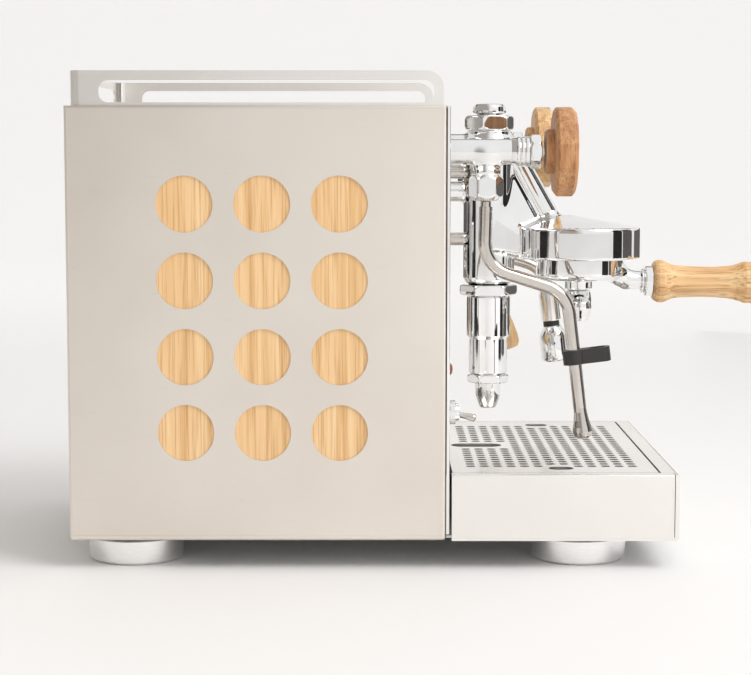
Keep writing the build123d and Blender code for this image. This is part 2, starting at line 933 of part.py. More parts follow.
with BuildPart() as filter_basket:
    turn(
        upright(0, bell_y),
        (0, 205.2),
        (26.0, 205.2),
        (29.0, 209.0),
        (29.9, rim_z),
        (32.2, rim_z),
        (32.2, rim_z + 1.2),
        (29.2, rim_z + 1.2),
        (28.4, 209.5),
        (25.7, 205.9),
        (0, 205.9),
    )
save(filter_basket, "filter_basket")

spout_outlet_x = 17.0
spout_radius = 9.4

with BuildPart() as portafilter_spout:
    turn(
        upright(0, bell_y),
        (3.9, 178.0),
        (9.4, 178.0),
        (9.4, 190.3),
        (3.9, 190.3),
    )
    with BuildSketch(Plane.XZ.offset(bell_ahead + spout_radius)) as spout_outline:
        with BuildLine():
            Polyline(
                (-9.4, 189.0),
                (9.4, 189.0),
                (spout_outlet_x + 5.5, 180.0),
                (spout_outlet_x + 6.5, 168.0),
                (spout_outlet_x - 5.5, 168.0),
                (6.0, 177.0),
                (-6.0, 177.0),
                (-spout_outlet_x + 5.5, 168.0),
                (-spout_outlet_x - 6.5, 168.0),
                (-spout_outlet_x - 5.5, 180.0),
                close=True,
            )
        make_face()
    extrude(spout_outline.sketch, -2 * spout_radius)
    fillet(edges().filter_by(Axis.X).group_by(Axis.Z)[0], 3.0)
    turn(upright(0, bell_y), (0, 180.0), (3.9, 180.0), (3.9, 191.0), (0, 191.0), mode=Mode.SUBTRACT)
    for side in (-1, 1):
        turn(
            upright(side * spout_outlet_x, bell_y),
            (0, 167.0),
            (4.0, 167.0),
            (4.0, 182.0),
            (0, 182.0),
            mode=Mode.SUBTRACT,
        )
save(portafilter_spout, "portafilter_spout")

with BuildPart() as portafilter_handle:
    turn(
        handle_plane,
        (5.1, 0.05),
        (12.0, 0.05),
        (14.4, 1.2),
        (16.2, 3.8),
        (16.2, 7.7),
        (14.8, 11.4),
        (13.0, 14.3),
        (12.1, 21.0),
        (11.8, 29.1),
        (11.4, 39.0),
        (11.5, 48.3),
        (12.2, 59.3),
        (13.8, 65.5),
        (15.75, 70.3),
        (15.75, handle_length - 3.0),
        (13.5, handle_length - 0.6),
        (10.0, handle_length),
        (0, handle_length),
        (0, 30.2),
        (5.1, 30.2),
    )
save(portafilter_handle, "portafilter_handle")

# ---------------------------------------------------------------- valves and wands

nut_corners = 22.5
outlet_nut_low = 260.5
outlet_nut_high = 281.5


def valve_height(x):
    """Height of a valve's axis; the hot-water valve sits a little higher than the steam valve."""
    return valve_z + (water_valve_rise if x > 0 else 0)


def valve_casting(x):
    """Valve body: a turned tube with a tee neck down to the outlet nut."""
    turn(
        forward(x, 0, valve_height(x)),
        (3.0, -6.0),
        (valve_spigot, -6.0),
        (valve_spigot, front_face_ahead),
        (9.15, front_face_ahead),
        (9.15, 50.6),
        (10.4, 51.6),
        (11.0, 52.4),
        (11.0, 54.0),
        (10.4, 54.8),
        (11.0, 55.4),
        (11.0, 57.4),
        (10.4, 58.0),
        (11.0, 58.6),
        (11.0, 60.8),
        (10.2, 61.4),
        (4.1, 61.4),
        (4.1, 44.0),
        (3.0, 44.0),
    )
    turn(
        upright(x, -outlet_ahead),
        (0, 275.5),
        (7.4, 275.5),
        (7.4, outlet_nut_high),
        (8.6, outlet_nut_high + 0.2),
        (8.6, valve_height(x)),
        (0, valve_height(x)),
    )
    turn(
        forward(x, 0, valve_height(x)),
        (0, -7.0),
        (3.0, -7.0),
        (3.0, 44.0),
        (4.1, 44.0),
        (4.1, 62.0),
        (0, 62.0),
        mode=Mode.SUBTRACT,
    )


with BuildPart() as steam_valve_body:
    valve_casting(-valve_x)
save(steam_valve_body, "steam_valve_body")

with BuildPart() as water_valve_body:
    valve_casting(valve_x)
save(water_valve_body, "water_valve_body")


def nut_pair(x):
    """The bonnet nut on the stem and the outlet nut that holds the wand's ball."""
    with BuildPart() as bonnet:
        hexagon(facing(x, 61.5, valve_height(x)), 21.6, 8.4, turned_by=30)
        turn(
            forward(x, 0, valve_height(x)),
            (0, 61.0),
            (4.1, 61.0),
            (4.1, 71.0),
            (0, 71.0),
            mode=Mode.SUBTRACT,
        )
    with BuildPart() as outlet:
        nut_plane = Plane.XY.offset(265.0).move(Location((x, -outlet_ahead, 0)))
        hexagon(nut_plane, nut_corners, 16.5, turned_by=30)
        turn(
            upright(x, -outlet_ahead),
            (0, outlet_nut_low),
            (7.6, outlet_nut_low),
            (9.4, 262.4),
            (10.2, 265.2),
            (0, 265.2),
        )
        turn(
            upright(x, -outlet_ahead),
            (0, 260.0),
            (6.9, 260.0),
            (6.9, 262.6),
            (8.6, 264.4),
            (8.6, 275.2),
            (7.45, 275.3),
            (7.45, 282.0),
            (0, 282.0),
            mode=Mode.SUBTRACT,
        )
    return [bonnet.part, outlet.part]


with BuildPart() as valve_nuts:
    for nut_x in (-valve_x, valve_x):
        for nut in nut_pair(nut_x):
            add(nut)
save(valve_nuts, "valve_nuts")


def stem(x):
    """Spindle that the knob turns, running in the valve body."""
    turn(
        forward(x, 0, valve_height(x)),
        (0, 46.0),
        (4.0, 46.0),
        (4.0, knob_start_ahead + 8.0),
        (0, knob_start_ahead + 8.0),
    )


with BuildPart() as steam_stem:
    stem(-valve_x)
save(steam_stem, "steam_stem")

with BuildPart() as water_stem:
    stem(valve_x)
save(water_stem, "water_stem")


def knob(x, turned_by):
    """Twelve-sided wooden knob with a round hub behind it."""
    knob_plane = facing(x, knob_start_ahead, valve_height(x))
    hexagon(knob_plane, knob_diameter, knob_thickness, 0.05, turned_by, sides=12)
    turn(
        forward(x, 0, valve_height(x)),
        (0, knob_start_ahead - 5.9),
        (14.8, knob_start_ahead - 5.9),
        (16.25, knob_start_ahead - 4.6),
        (16.25, knob_start_ahead + 1.0),
        (0, knob_start_ahead + 1.0),
    )
    turn(
        forward(x, 0, valve_height(x)),
        (0, knob_start_ahead - 8.0),
        (4.05, knob_start_ahead - 8.0),
        (4.05, knob_start_ahead + 8.1),
        (0, knob_start_ahead + 8.1),
        mode=Mode.SUBTRACT,
    )


with BuildPart() as steam_knob:
    knob(-valve_x, 6.0)
save(steam_knob, "steam_knob")

with BuildPart() as water_knob:
    knob(valve_x, 14.0)
save(water_knob, "water_knob")


def ball_seat(x):
    """Seat ring over the wand's ball, turning with the wand inside the outlet nut."""
    turn(
        upright(x, -outlet_ahead),
        (2.2, 272.7),
        (2.2, 275.0),
        (8.3, 275.0),
        (8.3, ball_z - 0.6),
        (ball_radius + 0.3, ball_z - 0.6),
        (ball_radius + 0.3, ball_z + 0.6),
        (6.1, 269.6),
        (4.6, 271.4),
    )


with BuildPart() as steam_ball_seat:
    ball_seat(-valve_x)
save(steam_ball_seat, "steam_ball_seat")

with BuildPart() as water_ball_seat:
    ball_seat(valve_x)
save(water_ball_seat, "water_ball_seat")

bend_a = (28.9, 213.7)
bend_b = (89.4, 194.5)
wand_bend_radius = 24.0
lower_lean = 0.121
tip_joint_z = 110.0


def lower_ahead(z, lift=0.0):
    """How far ahead the lower straight run of a wand is at a height."""
    return bend_b[0] + (bend_b[1] + lift - z) * lower_lean


with BuildPart() as steam_wand:
    wand_start = (-valve_x, -outlet_ahead, 257.0)
    tube(
        [
            wand_start,
            (-valve_x, -bend_a[0], bend_a[1]),
            (-valve_x, -bend_b[0], bend_b[1]),
            (-valve_x, -lower_ahead(tip_joint_z), tip_joint_z),
        ],
        [wand_bend_radius, wand_bend_radius],
        wand_radius,
    )
    turn(
        upright(-valve_x, -outlet_ahead),
        (0, 253.0),
        (wand_radius - 0.2, 253.0),
        (wand_radius, 254.0),
        (3.7, 255.0),
        (3.7, 262.0),
        (0, 262.0),
    )
    with Locations((-valve_x, -outlet_ahead, ball_z)):
        Sphere(ball_radius)
save(steam_wand, "steam_wand")

lean_angle = math.atan(lower_lean)
lean_down = Vector(0, -math.sin(lean_angle), -math.cos(lean_angle))
tip_origin = (-valve_x, -lower_ahead(tip_joint_z), tip_joint_z)
tip_plane = Plane(origin=tip_origin, x_dir=(1, 0, 0), z_dir=Vector(1, 0, 0).cross(lean_down))

with BuildPart() as steam_tip:
    turn(
        tip_plane,
        (0, 0),
        (4.6, 0),
        (4.8, 3.0),
        (5.6, 9.0),
        (6.7, 14.0),
        (7.1, 17.6),
        (6.6, 20.4),
        (4.4, 22.2),
        (0, 22.4),
    )
save(steam_tip, "steam_tip")

grip_z = 147.5
grip_height = 10.4
grip_plane = Plane(
    origin=(-valve_x, -lower_ahead(grip_z), grip_z),
    x_dir=Vector(0, -math.cos(lean_angle), math.sin(lean_angle)),
    z_dir=-lean_down,
)

with BuildPart() as steam_grip:
    with BuildSketch(grip_plane.offset(-grip_height / 2)) as grip_plan:
        Circle(8.3)
        with Locations((14.5, 0)):
            Rectangle(18, 13)
        with Locations((20.0, 0)):
            Circle(6.5)
        Circle(wand_radius + 0.02, mode=Mode.SUBTRACT)
        with Locations((17.0, 0)):
            SlotOverall(12, 7.6, mode=Mode.SUBTRACT)
    extrude(grip_plan.sketch, grip_height)
save(steam_grip, "steam_grip")

water_lift = 6.0

with BuildPart() as water_wand:
    tube(
        [
            (valve_x, -outlet_ahead, 257.0),
            (valve_x, -bend_a[0], bend_a[1] + water_lift),
            (valve_x, -bend_b[0], bend_b[1] + water_lift),
            (valve_x, -lower_ahead(158.0, water_lift), 158.0),
        ],
        [wand_bend_radius, wand_bend_radius],
        wand_radius,
    )
    turn(
        upright(valve_x, -outlet_ahead),
        (0, 253.0),
        (wand_radius - 0.2, 253.0),
        (wand_radius, 254.0),
        (3.7, 255.0),
        (3.7, 262.0),
        (0, 262.0),
    )
    with Locations((valve_x, -outlet_ahead, ball_z)):
        Sphere(ball_radius)
save(water_wand, "water_wand")

sleeve_origin = (valve_x, -lower_ahead(158.0, water_lift), 158.0)
sleeve_plane = Plane(origin=sleeve_origin, x_dir=(1, 0, 0), z_dir=Vector(1, 0, 0).cross(-lean_down))
cup_plane = Plane(origin=sleeve_origin, x_dir=(1, 0, 0), z_dir=Vector(1, 0, 0).cross(lean_down))

with BuildPart() as water_nozzle:
    turn(
        sleeve_plane,
        (wand_radius + 0.02, 0.4),
        (7.6, 0.4),
        (8.0, 0.8),
        (8.0, 26.0),
        (7.4, 27.0),
        (wand_radius + 0.02, 27.0),
    )
    turn(
        cup_plane,
        (0, 0.02),
        (4.9, 0.02),
        (6.0, -0.5),
        (7.0, -0.5),
        (7.0, 1.0),
        (4.5, 1.0),
        (4.5, 6.0),
        (9.6, 6.0),
        (11.3, 8.4),
        (11.3, 30.2),
        (9.4, 33.0),
        (5.0, 33.0),
        (5.0, 28.0),
        (0, 28.0),
    )
save(water_nozzle, "water_nozzle")

# ---------------------------------------------------------------- controls

toggle_tilt = math.radians(toggle_droop)
toggle_pivot = Vector(switch_x, -5.0, switch_z - 0.6)
toggle_dir = Vector(0, -math.cos(toggle_tilt), -math.sin(toggle_tilt))
toggle_plane = Plane(origin=toggle_pivot, x_dir=(1, 0, 0), z_dir=Vector(1, 0, 0).cross(toggle_dir))

with BuildPart() as switch_body:
    turn(
        forward(switch_x, 0, switch_z),
        (0, -24.0),
        (11.0, -24.0),
        (11.0, 0.4),
        (switch_hole, 0.4),
        (switch_hole, front_face_ahead),
        (9.6, front_face_ahead),
        (9.6, 3.4),
        (9.0, 3.8),
        (9.0, 7.6),
        (6.6, 8.2),
        (6.2, 10.4),
        (5.0, 10.4),
        (5.0, 1.5),
        (0, 1.5),
    )
save(switch_body, "switch_body")

with BuildPart() as toggle_lever:
    turn(
        toggle_plane,
        (0, -2.4),
        (1.8, -2.4),
        (2.0, 6.0),
        (2.2, 10.0),
        (2.75, 16.0),
        (2.6, 17.2),
        (1.8, 17.9),
        (0, 18.0),
    )
save(toggle_lever, "toggle_lever")

with BuildPart() as pilot_lamp:
    turn(
        forward(switch_x, 0, lamp_z),
        (0, -14.0),
        (lamp_hole, -14.0),
        (lamp_hole, front_face_ahead),
        (4.35, front_face_ahead),
        (4.35, 4.2),
        (2.8, 5.4),
        (0, 5.8),
    )
save(pilot_lamp, "pilot_lamp")

dial_ahead = 1.4

with BuildPart() as gauge_case:
    turn(
        forward(gauge_x, 0, gauge_z),
        (0, -22.0),
        (gauge_hole, -22.0),
        (gauge_hole, front_face_ahead),
        (gauge_radius, front_face_ahead),
        (gauge_radius, 5.0),
        (gauge_radius - 1.4, 6.4),
        (gauge_radius - 3.6, 6.4),
        (gauge_radius - 3.6, dial_ahead),
        (1.2, dial_ahead),
        (1.2, dial_ahead - 3.0),
        (0, dial_ahead - 3.0),
    )
save(gauge_case, "gauge_case")

needle_start = math.radians(225)

with BuildPart() as gauge_needle:
    turn(
        forward(gauge_x, 0, gauge_z),
        (0, dial_ahead - 2.6),
        (0.9, dial_ahead - 2.6),
        (0.9, dial_ahead + 1.0),
        (2.6, dial_ahead + 1.0),
        (2.6, dial_ahead + 2.4),
        (0, dial_ahead + 2.4),
    )
    with BuildSketch(facing(gauge_x, dial_ahead + 1.2, gauge_z)) as pointer:
        with BuildLine():
            Polyline(
                (17.0 * math.cos(needle_start), 17.0 * math.sin(needle_start)),
                (-6.0 * math.cos(needle_start) + 1.2, -6.0 * math.sin(needle_start) - 1.2),
                (-6.0 * math.cos(needle_start) - 1.2, -6.0 * math.sin(needle_start) + 1.2),
                close=True,
            )
        make_face()
    extrude(pointer.sketch, 0.8)
save(gauge_needle, "gauge_needle")

# ---------------------------------------------------------------- inside

with BuildPart() as boiler:
    turn(
        Plane(origin=(0, 0, boiler_z), x_dir=(1, 0, 0), z_dir=(0, 0, 1)),
        (0, boiler_front_y),
        (boiler_radius - 6, boiler_front_y),
        (boiler_radius, boiler_front_y + 6),
        (boiler_radius, boiler_rear_y - 5),
        (boiler_radius + 8, boiler_rear_y - 5),
        (boiler_radius + 8, boiler_rear_y),
        (boiler_radius - 10, boiler_rear_y),
        (boiler_radius - 10, boiler_rear_y - 8),
        (boiler_radius - 1.5, boiler_rear_y - 8),
        (boiler_radius - 1.5, boiler_front_y + 6.6),
        (boiler_radius - 6.6, boiler_front_y + 1.5),
        (0, boiler_front_y + 1.5),
    )
save(boiler, "boiler")

with BuildPart() as heating_element:
    element_plane = Plane(origin=(0, 0, boiler_z), x_dir=(1, 0, 0), z_dir=(0, 0, 1))
    turn(
        element_plane,
        (0, boiler_rear_y + 0.2),
        (boiler_radius + 8, boiler_rear_y + 0.2),
        (boiler_radius + 8, boiler_rear_y + 5),
        (0, boiler_rear_y + 5),
    )
    for side in (-1, 1):
        tube(
            [
                (side * 16.0, boiler_rear_y + 14.0, boiler_z - 12),
                (side * 16.0, boiler_front_y + 22.0, boiler_z - 12),
                (side * 16.0, boiler_front_y + 22.0, boiler_z - 36),
                (side * 16.0, boiler_rear_y + 2.0, boiler_z - 36),
            ],
            [11.0, 11.0],
            4.2,
        )
    with BuildSketch(Plane.XZ.offset(-boiler_rear_y - 5)) as flange_bolts:
        with Locations((0, boiler_z)):
            with PolarLocations(boiler_radius + 3, 8):
                RegularPolygon(4.6, 6)
    extrude(flange_bolts.sketch, -4)
save(heating_element, "heating_element")

saddle_half = 40.0

with BuildPart() as inner_brackets:
    for saddle_y in (50.0, 150.0):
        block(
            (-saddle_half, saddle_y, floor_high),
            (saddle_half, saddle_y + 3, boiler_z - 30),
        )
    with BuildSketch(Plane.XZ) as saddle_cut:
        with Locations((0, boiler_z)):
            Circle(boiler_radius + 0.1)
    extrude(saddle_cut.sketch, -200, mode=Mode.SUBTRACT)
    block((-110, tank_front_y - 2, tank_low_z - 2.2), (110, tank_rear_y + 2, tank_low_z - 0.7))
    for leg_x in (-110.0, 108.0):
        block((leg_x, tank_front_y + 6, floor_high), (leg_x + 2, tank_rear_y - 6, tank_low_z - 2.1))
save(inner_brackets, "inner_brackets")

with BuildPart() as thermosyphon_pipes:
    tube([(0, -25.5, lower_pipe_z), (0, boiler_front_y - 0.2, lower_pipe_z)], None, pipe_radius, 3.6)
    tube(
        [
            (0, -25.5, upper_pipe_z),
            (0, 44.0, upper_pipe_z),
            (0, 44.0, boiler_z + boiler_radius + 0.2),
        ],
        [10.0],
        pipe_radius,
        3.6,
    )
save(thermosyphon_pipes, "thermosyphon_pipes")

feed_radius = 3.9
feed_x = 20.0
feed_end_z = boiler_z + math.sqrt(boiler_radius**2 - (feed_x - feed_radius) ** 2) + 0.1

with BuildPart() as feed_pipes:
    for side in (-1, 1):
        tube(
            [
                (side * valve_x, 6.2, valve_height(side)),
                (side * valve_x, 70.0, valve_height(side)),
                (side * feed_x, 110.0, valve_z),
                (side * feed_x, 110.0, feed_end_z),
            ],
            [16.0, 12.0],
            feed_radius,
            2.6,
        )
save(feed_pipes, "feed_pipes")

pump_x = -78.0
pump_z = 62.0

with BuildPart() as vibration_pump:
    block((pump_x - 22, 70, pump_z - 18), (pump_x + 22, 128, pump_z + 22))
    fillet(edges().filter_by(Axis.Y), 3)
    pump_plane = Plane(origin=(pump_x, 0, pump_z), x_dir=(1, 0, 0), z_dir=(0, 0, 1))
    turn(
        pump_plane,
        (0, 46),
        (5, 46),
        (5, 58),
        (12, 60),
        (12, 70.5),
        (0, 70.5),
    )
    turn(pump_plane, (0, 127.5), (13, 127.5), (13, 146), (6, 148), (6, 160), (0, 160))
    for foot_y in (74.0, 118.0):
        block((pump_x - 20, foot_y, floor_high), (pump_x + 20, foot_y + 6, pump_z - 17.9))
save(vibration_pump, "vibration_pump")

with BuildPart() as water_tank:
    block((-tank_half_width, tank_front_y, tank_low_z), (tank_half_width, tank_rear_y, tank_high_z))
    fillet(edges().filter_by(Axis.Z), 10)
    fillet(edges().group_by(Axis.Z)[0], 4)
    offset(amount=-2.4, openings=faces().sort_by(Axis.Z)[-1])
save(water_tank, "water_tank")

with BuildPart() as tank_lid:
    with BuildSketch(Plane.XY.offset(tank_high_z + 0.05)) as lid_plan:
        with Locations((0, (tank_front_y + tank_rear_y) / 2)):
            RectangleRounded(2 * tank_half_width + 2, tank_rear_y - tank_front_y + 2, 10)
            with Locations((60, 0)):
                Circle(14, mode=Mode.SUBTRACT)
    extrude(lid_plan.sketch, 2.4)
save(tank_lid, "tank_lid")

with BuildPart() as pressurestat:
    block((-100, 118, 262), (-66, 168, 300))
    fillet(edges().filter_by(Axis.Z), 4)
    turn(upright(-83, 143), (0, 250), (9, 250), (9, 262.2), (0, 262.2))
save(pressurestat, "pressurestat")

with BuildPart() as safety_valve:
    valve_base = boiler_z + boiler_radius + 0.2
    turn(
        upright(0, 84),
        (0, valve_base),
        (7, valve_base),
        (7, valve_base + 5),
        (10, valve_base + 6),
        (10, valve_base + 14),
        (6, valve_base + 16),
        (6, valve_base + 30),
        (3, valve_base + 33),
        (0, valve_base + 33),
    )
save(safety_valve, "safety_valve")

with BuildPart() as control_box:
    block((52, 60, floor_high + 6), (108, 150, 96))
    fillet(edges().filter_by(Axis.Z), 3)
    block((60, 66, floor_high), (100, 72, floor_high + 6.1))
    block((60, 138, floor_high), (100, 144, floor_high + 6.1))
save(control_box, "control_box")

with BuildPart() as power_inlet:
    rear_face = body_depth - sheet - 0.1
    block(
        (inlet_x - inlet_width / 2, rear_face - 22, inlet_z - inlet_height / 2),
        (inlet_x + inlet_width / 2, rear_face - 0.2, inlet_z + inlet_height / 2),
    )
    block(
        (inlet_x - inlet_width / 2 - 5, rear_face + 0.05, inlet_z - inlet_height / 2 - 3),
        (inlet_x + inlet_width / 2 + 5, body_depth - 0.1, inlet_z + inlet_height / 2 + 3),
    )
    block(
        (inlet_x - inlet_width / 2, rear_face - 1, inlet_z - inlet_height / 2),
        (inlet_x + inlet_width / 2, rear_face + 0.1, inlet_z + inlet_height / 2),
    )
    block(
        (inlet_x - 12, rear_face - 17, inlet_z - 8),
        (inlet_x + 12, body_depth + 1, inlet_z + 8),
        mode=Mode.SUBTRACT,
    )
    for pin_x in (-7.0, 0.0, 7.0):
        block(
            (inlet_x + pin_x - 1, rear_face - 17.5, inlet_z - 2),
            (inlet_x + pin_x + 1, rear_face - 3, inlet_z + 2),
        )
save(power_inlet, "power_inlet")
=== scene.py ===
# %% [markdown]
# # An espresso machine around a CAD frame
# The CAD model holds every part of the machine at its real size. This lesson gives each part the
# finish of the real one: brushed and polished steel, chrome, oiled oak and rubber. Where a part
# needs a shape that the CAD model only blocks out, a mesh piece is built and rides on its body.
# Everything is in metres. The front of the machine looks along -Y, and +Z is up.

# %% Load the frame
import bpy
import bmesh
import json
import math
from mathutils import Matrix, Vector


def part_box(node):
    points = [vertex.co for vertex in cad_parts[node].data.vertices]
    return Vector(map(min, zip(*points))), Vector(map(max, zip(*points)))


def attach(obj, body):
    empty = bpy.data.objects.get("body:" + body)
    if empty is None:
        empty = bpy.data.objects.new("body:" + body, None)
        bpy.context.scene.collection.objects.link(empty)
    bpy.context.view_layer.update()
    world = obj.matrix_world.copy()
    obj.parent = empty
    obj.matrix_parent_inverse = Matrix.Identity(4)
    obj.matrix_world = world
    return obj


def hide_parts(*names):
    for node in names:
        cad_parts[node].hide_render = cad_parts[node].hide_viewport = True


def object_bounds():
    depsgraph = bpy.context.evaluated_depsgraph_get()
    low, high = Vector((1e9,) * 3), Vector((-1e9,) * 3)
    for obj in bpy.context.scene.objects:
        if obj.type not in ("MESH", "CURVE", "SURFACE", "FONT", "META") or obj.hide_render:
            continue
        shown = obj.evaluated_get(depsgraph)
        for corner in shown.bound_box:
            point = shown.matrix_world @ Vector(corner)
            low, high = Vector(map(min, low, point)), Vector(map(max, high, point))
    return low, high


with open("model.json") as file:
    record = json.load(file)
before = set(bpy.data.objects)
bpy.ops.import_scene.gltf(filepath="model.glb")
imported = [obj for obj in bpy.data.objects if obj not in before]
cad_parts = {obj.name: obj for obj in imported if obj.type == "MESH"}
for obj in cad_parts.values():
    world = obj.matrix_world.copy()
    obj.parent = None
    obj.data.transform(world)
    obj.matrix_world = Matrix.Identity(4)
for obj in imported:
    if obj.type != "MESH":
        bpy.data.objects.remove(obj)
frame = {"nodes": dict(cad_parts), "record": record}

nodes = frame["nodes"]
cad_low, cad_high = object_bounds()
slot_of_node = {s["node"]: s["material_slot"] for s in frame["record"]["subparts"]}
print("machine size", [round(v, 3) for v in cad_high - cad_low], "with", len(nodes), "CAD nodes")

# %% [markdown]
# ## The camera
# A machine like this is best shown square on to its side, from a little above the cup rail, with a
# long lens so that the panel stays nearly rectangular. The camera looks along +X, tipped down a few
# degrees. Its place is measured from the machine: five centimetres behind the front plane of the
# cabinet, and about five cabinet widths away from the left panel.

# %% Camera
panel_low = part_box("side_panel_left")[0]
camera_gap = 1.34
camera_behind_front = 0.0501
camera_height = 0.298
camera_pitch = math.radians(5.61)
camera_lens = 91.5
camera_data = bpy.data.cameras.new("camera")
camera_data.lens = camera_lens
camera_data.sensor_width = 36
camera = bpy.data.objects.new("camera", camera_data)
bpy.context.scene.collection.objects.link(camera)
camera.location = (panel_low.x - camera_gap, panel_low.y + camera_behind_front, camera_height)
camera.rotation_euler = (math.pi / 2 - camera_pitch, 0, -math.pi / 2)
bpy.context.scene.camera = camera
print("camera at", [round(v, 3) for v in camera.location])

# %% [markdown]
# ## The studio
# Polished metal has almost no colour of its own: it shows the room. So the room comes first, and
# its light comes from the world, which is white in front of the machine and greyer behind its
# back. The brushed side panel mirrors that change as a slow gradient. A ring of lamps could do
# the same, but each lamp would leave its own bright shape on every curve of the chrome.

# %% World
scene = bpy.context.scene
scene.view_settings.view_transform = "Standard"
world = bpy.data.worlds.new("studio")
scene.world = world
world.use_nodes = True
wt = world.node_tree
wt.nodes.clear()
sky_out = wt.nodes.new("ShaderNodeOutputWorld")
sky = wt.nodes.new("ShaderNodeBackground")
room = wt.nodes.new("ShaderNodeTexCoord")
across_room = wt.nodes.new("ShaderNodeSeparateXYZ")
fade = wt.nodes.new("ShaderNodeMapRange")
fade.interpolation_type = "SMOOTHSTEP"
fade.inputs["From Min"].default_value = -0.12
fade.inputs["From Max"].default_value = 0.26
fade.inputs["To Min"].default_value = 0.0
fade.inputs["To Max"].default_value = 1.0
tone = wt.nodes.new("ShaderNodeValToRGB")
tone.color_ramp.elements[0].color = (1.0, 1.0, 1.0, 1)
tone.color_ramp.elements[1].color = (0.42, 0.395, 0.37, 1)
wt.links.new(room.outputs["Generated"], across_room.inputs[0])
wt.links.new(across_room.outputs["Y"], fade.inputs["Value"])
wt.links.new(fade.outputs["Result"], tone.inputs["Fac"])
wt.links.new(tone.outputs["Color"], sky.inputs["Color"])
wt.links.new(sky.outputs[0], sky_out.inputs[0])
sky.inputs["Strength"].default_value = 1.0
print("world set")


# %% Mesh helpers
def new_object(name, mesh):
    """Link a mesh into the scene as an object."""
    made = bpy.data.objects.new(name, mesh)
    scene.collection.objects.link(made)
    return made


def mesh_from(name, verts, faces, smooth_angle=35):
    """A mesh with its normals outwards, smooth but for the edges that turn more than the angle."""
    mesh = bpy.data.meshes.new(name)
    mesh.from_pydata([tuple(v) for v in verts], [], faces)
    shaped = bmesh.new()
    shaped.from_mesh(mesh)
    bmesh.ops.remove_doubles(shaped, verts=shaped.verts, dist=1e-7)
    bmesh.ops.recalc_face_normals(shaped, faces=shaped.faces)
    shaped.to_mesh(mesh)
    shaped.free()
    mesh.shade_smooth()
    mesh.set_sharp_from_angle(angle=math.radians(smooth_angle))
    return mesh


print("mesh helpers ready")

# %% [markdown]
# ## The paper sweep
# The machine stands on a pale paper sweep: a floor that bends up into a wall far behind it, so no
# line shows where one ends and the other starts. The profile is a straight, a quarter turn and a
# straight, carried across the room. The paper glows faintly far from the machine. That keeps the
# distance white, while the floor close by stays plain paper and takes the real soft shadow.


# %% Paper sweep
def plain(name, colour, roughness=0.6):
    """A plain studio surface."""
    made = bpy.data.materials.new(name)
    made.use_nodes = True
    shader = made.node_tree.nodes["Principled BSDF"]
    shader.inputs["Base Color"].default_value = (*colour, 1)
    shader.inputs["Roughness"].default_value = roughness
    return made


def sweep_profile(depth, radius, height, steps=24):
    """Side view of a paper sweep: flat floor, a quarter bend, and a wall behind."""
    points = [(-depth, 0.0), (depth - radius, 0.0)]
    for i in range(1, steps + 1):
        turn = math.pi / 2 * i / steps
        points.append((depth - radius + radius * math.sin(turn), radius - radius * math.cos(turn)))
    points.append((depth, height))
    return points


sweep_depth, bend_radius, sweep_height, sweep_half_width = 6.0, 2.5, 6.0, 9.0
profile = sweep_profile(sweep_depth, bend_radius, sweep_height)
sweep_verts = [(x, side * sweep_half_width, z) for side in (-1, 1) for x, z in profile]
count = len(profile)
sweep_faces = [(i, i + 1, count + i + 1, count + i) for i in range(count - 1)]
sweep = new_object("paper_sweep", mesh_from("paper_sweep", sweep_verts, sweep_faces))
paper = plain("paper", (0.93, 0.925, 0.92))
glow = paper.node_tree.nodes["Principled BSDF"]
glow.inputs["Emission Color"].default_value = (1, 0.995, 0.99, 1)
place = paper.node_tree.nodes.new("ShaderNodeTexCoord")
length = paper.node_tree.nodes.new("ShaderNodeVectorMath")
length.operation = "LENGTH"
far_glow = paper.node_tree.nodes.new("ShaderNodeMapRange")
far_glow.interpolation_type = "SMOOTHSTEP"
far_glow.inputs["From Min"].default_value = 0.5
far_glow.inputs["From Max"].default_value = 3.0
far_glow.inputs["To Max"].default_value = 0.15
paper.node_tree.links.new(place.outputs["Object"], length.inputs[0])
paper.node_tree.links.new(length.outputs["Value"], far_glow.inputs["Value"])
paper.node_tree.links.new(far_glow.outputs["Result"], glow.inputs["Emission Strength"])
sweep.data.materials.append(paper)
print("paper sweep has", len(sweep.data.polygons), "faces")

# %% [markdown]
# ## The wall round the room
# From the side the sweep fills the view. From any other side the paper ends, and the grey of the
# world would show behind it. So three plain bright walls close the room. Only the camera sees
# them: they give no light and no reflection, which leaves the look of the metal alone.

# %% Walls
near_x, wall_y, wall_height = -5.9, 8.0, 9.0
wall_corners = [(sweep_depth, -wall_y), (near_x, -wall_y), (near_x, wall_y), (sweep_depth, wall_y)]
wall_verts = [(x, y, z) for x, y in wall_corners for z in (0.0, wall_height)]
wall_faces = [(2 * i, 2 * i + 2, 2 * i + 3, 2 * i + 1) for i in range(3)]
far_wall = new_object("far_wall", mesh_from("far_wall", wall_verts, wall_faces))
wall_paint = plain("far_wall", (0, 0, 0))
wall_shader = wall_paint.node_tree.nodes["Principled BSDF"]
wall_shader.inputs["Specular IOR Level"].default_value = 0.0
wall_shader.inputs["Emission Color"].default_value = (0.90, 0.895, 0.885, 1)
wall_shader.inputs["Emission Strength"].default_value = 1.0
far_wall.data.materials.append(wall_paint)
far_wall.visible_diffuse = False
far_wall.visible_glossy = False
far_wall.visible_shadow = False
print("walls built")

# %% [markdown]
# ## Dark cards
# In an all white room chrome looks like white paint. Black and grey cards stand just out of
# view, and the metal bends each one into a crisp dark line. Here they are flat faces that only
# reflections can see. Three stand in a ring round the group, towards the machine's front, and one
# hangs high on the far side to draw the line along the top of every level pipe.


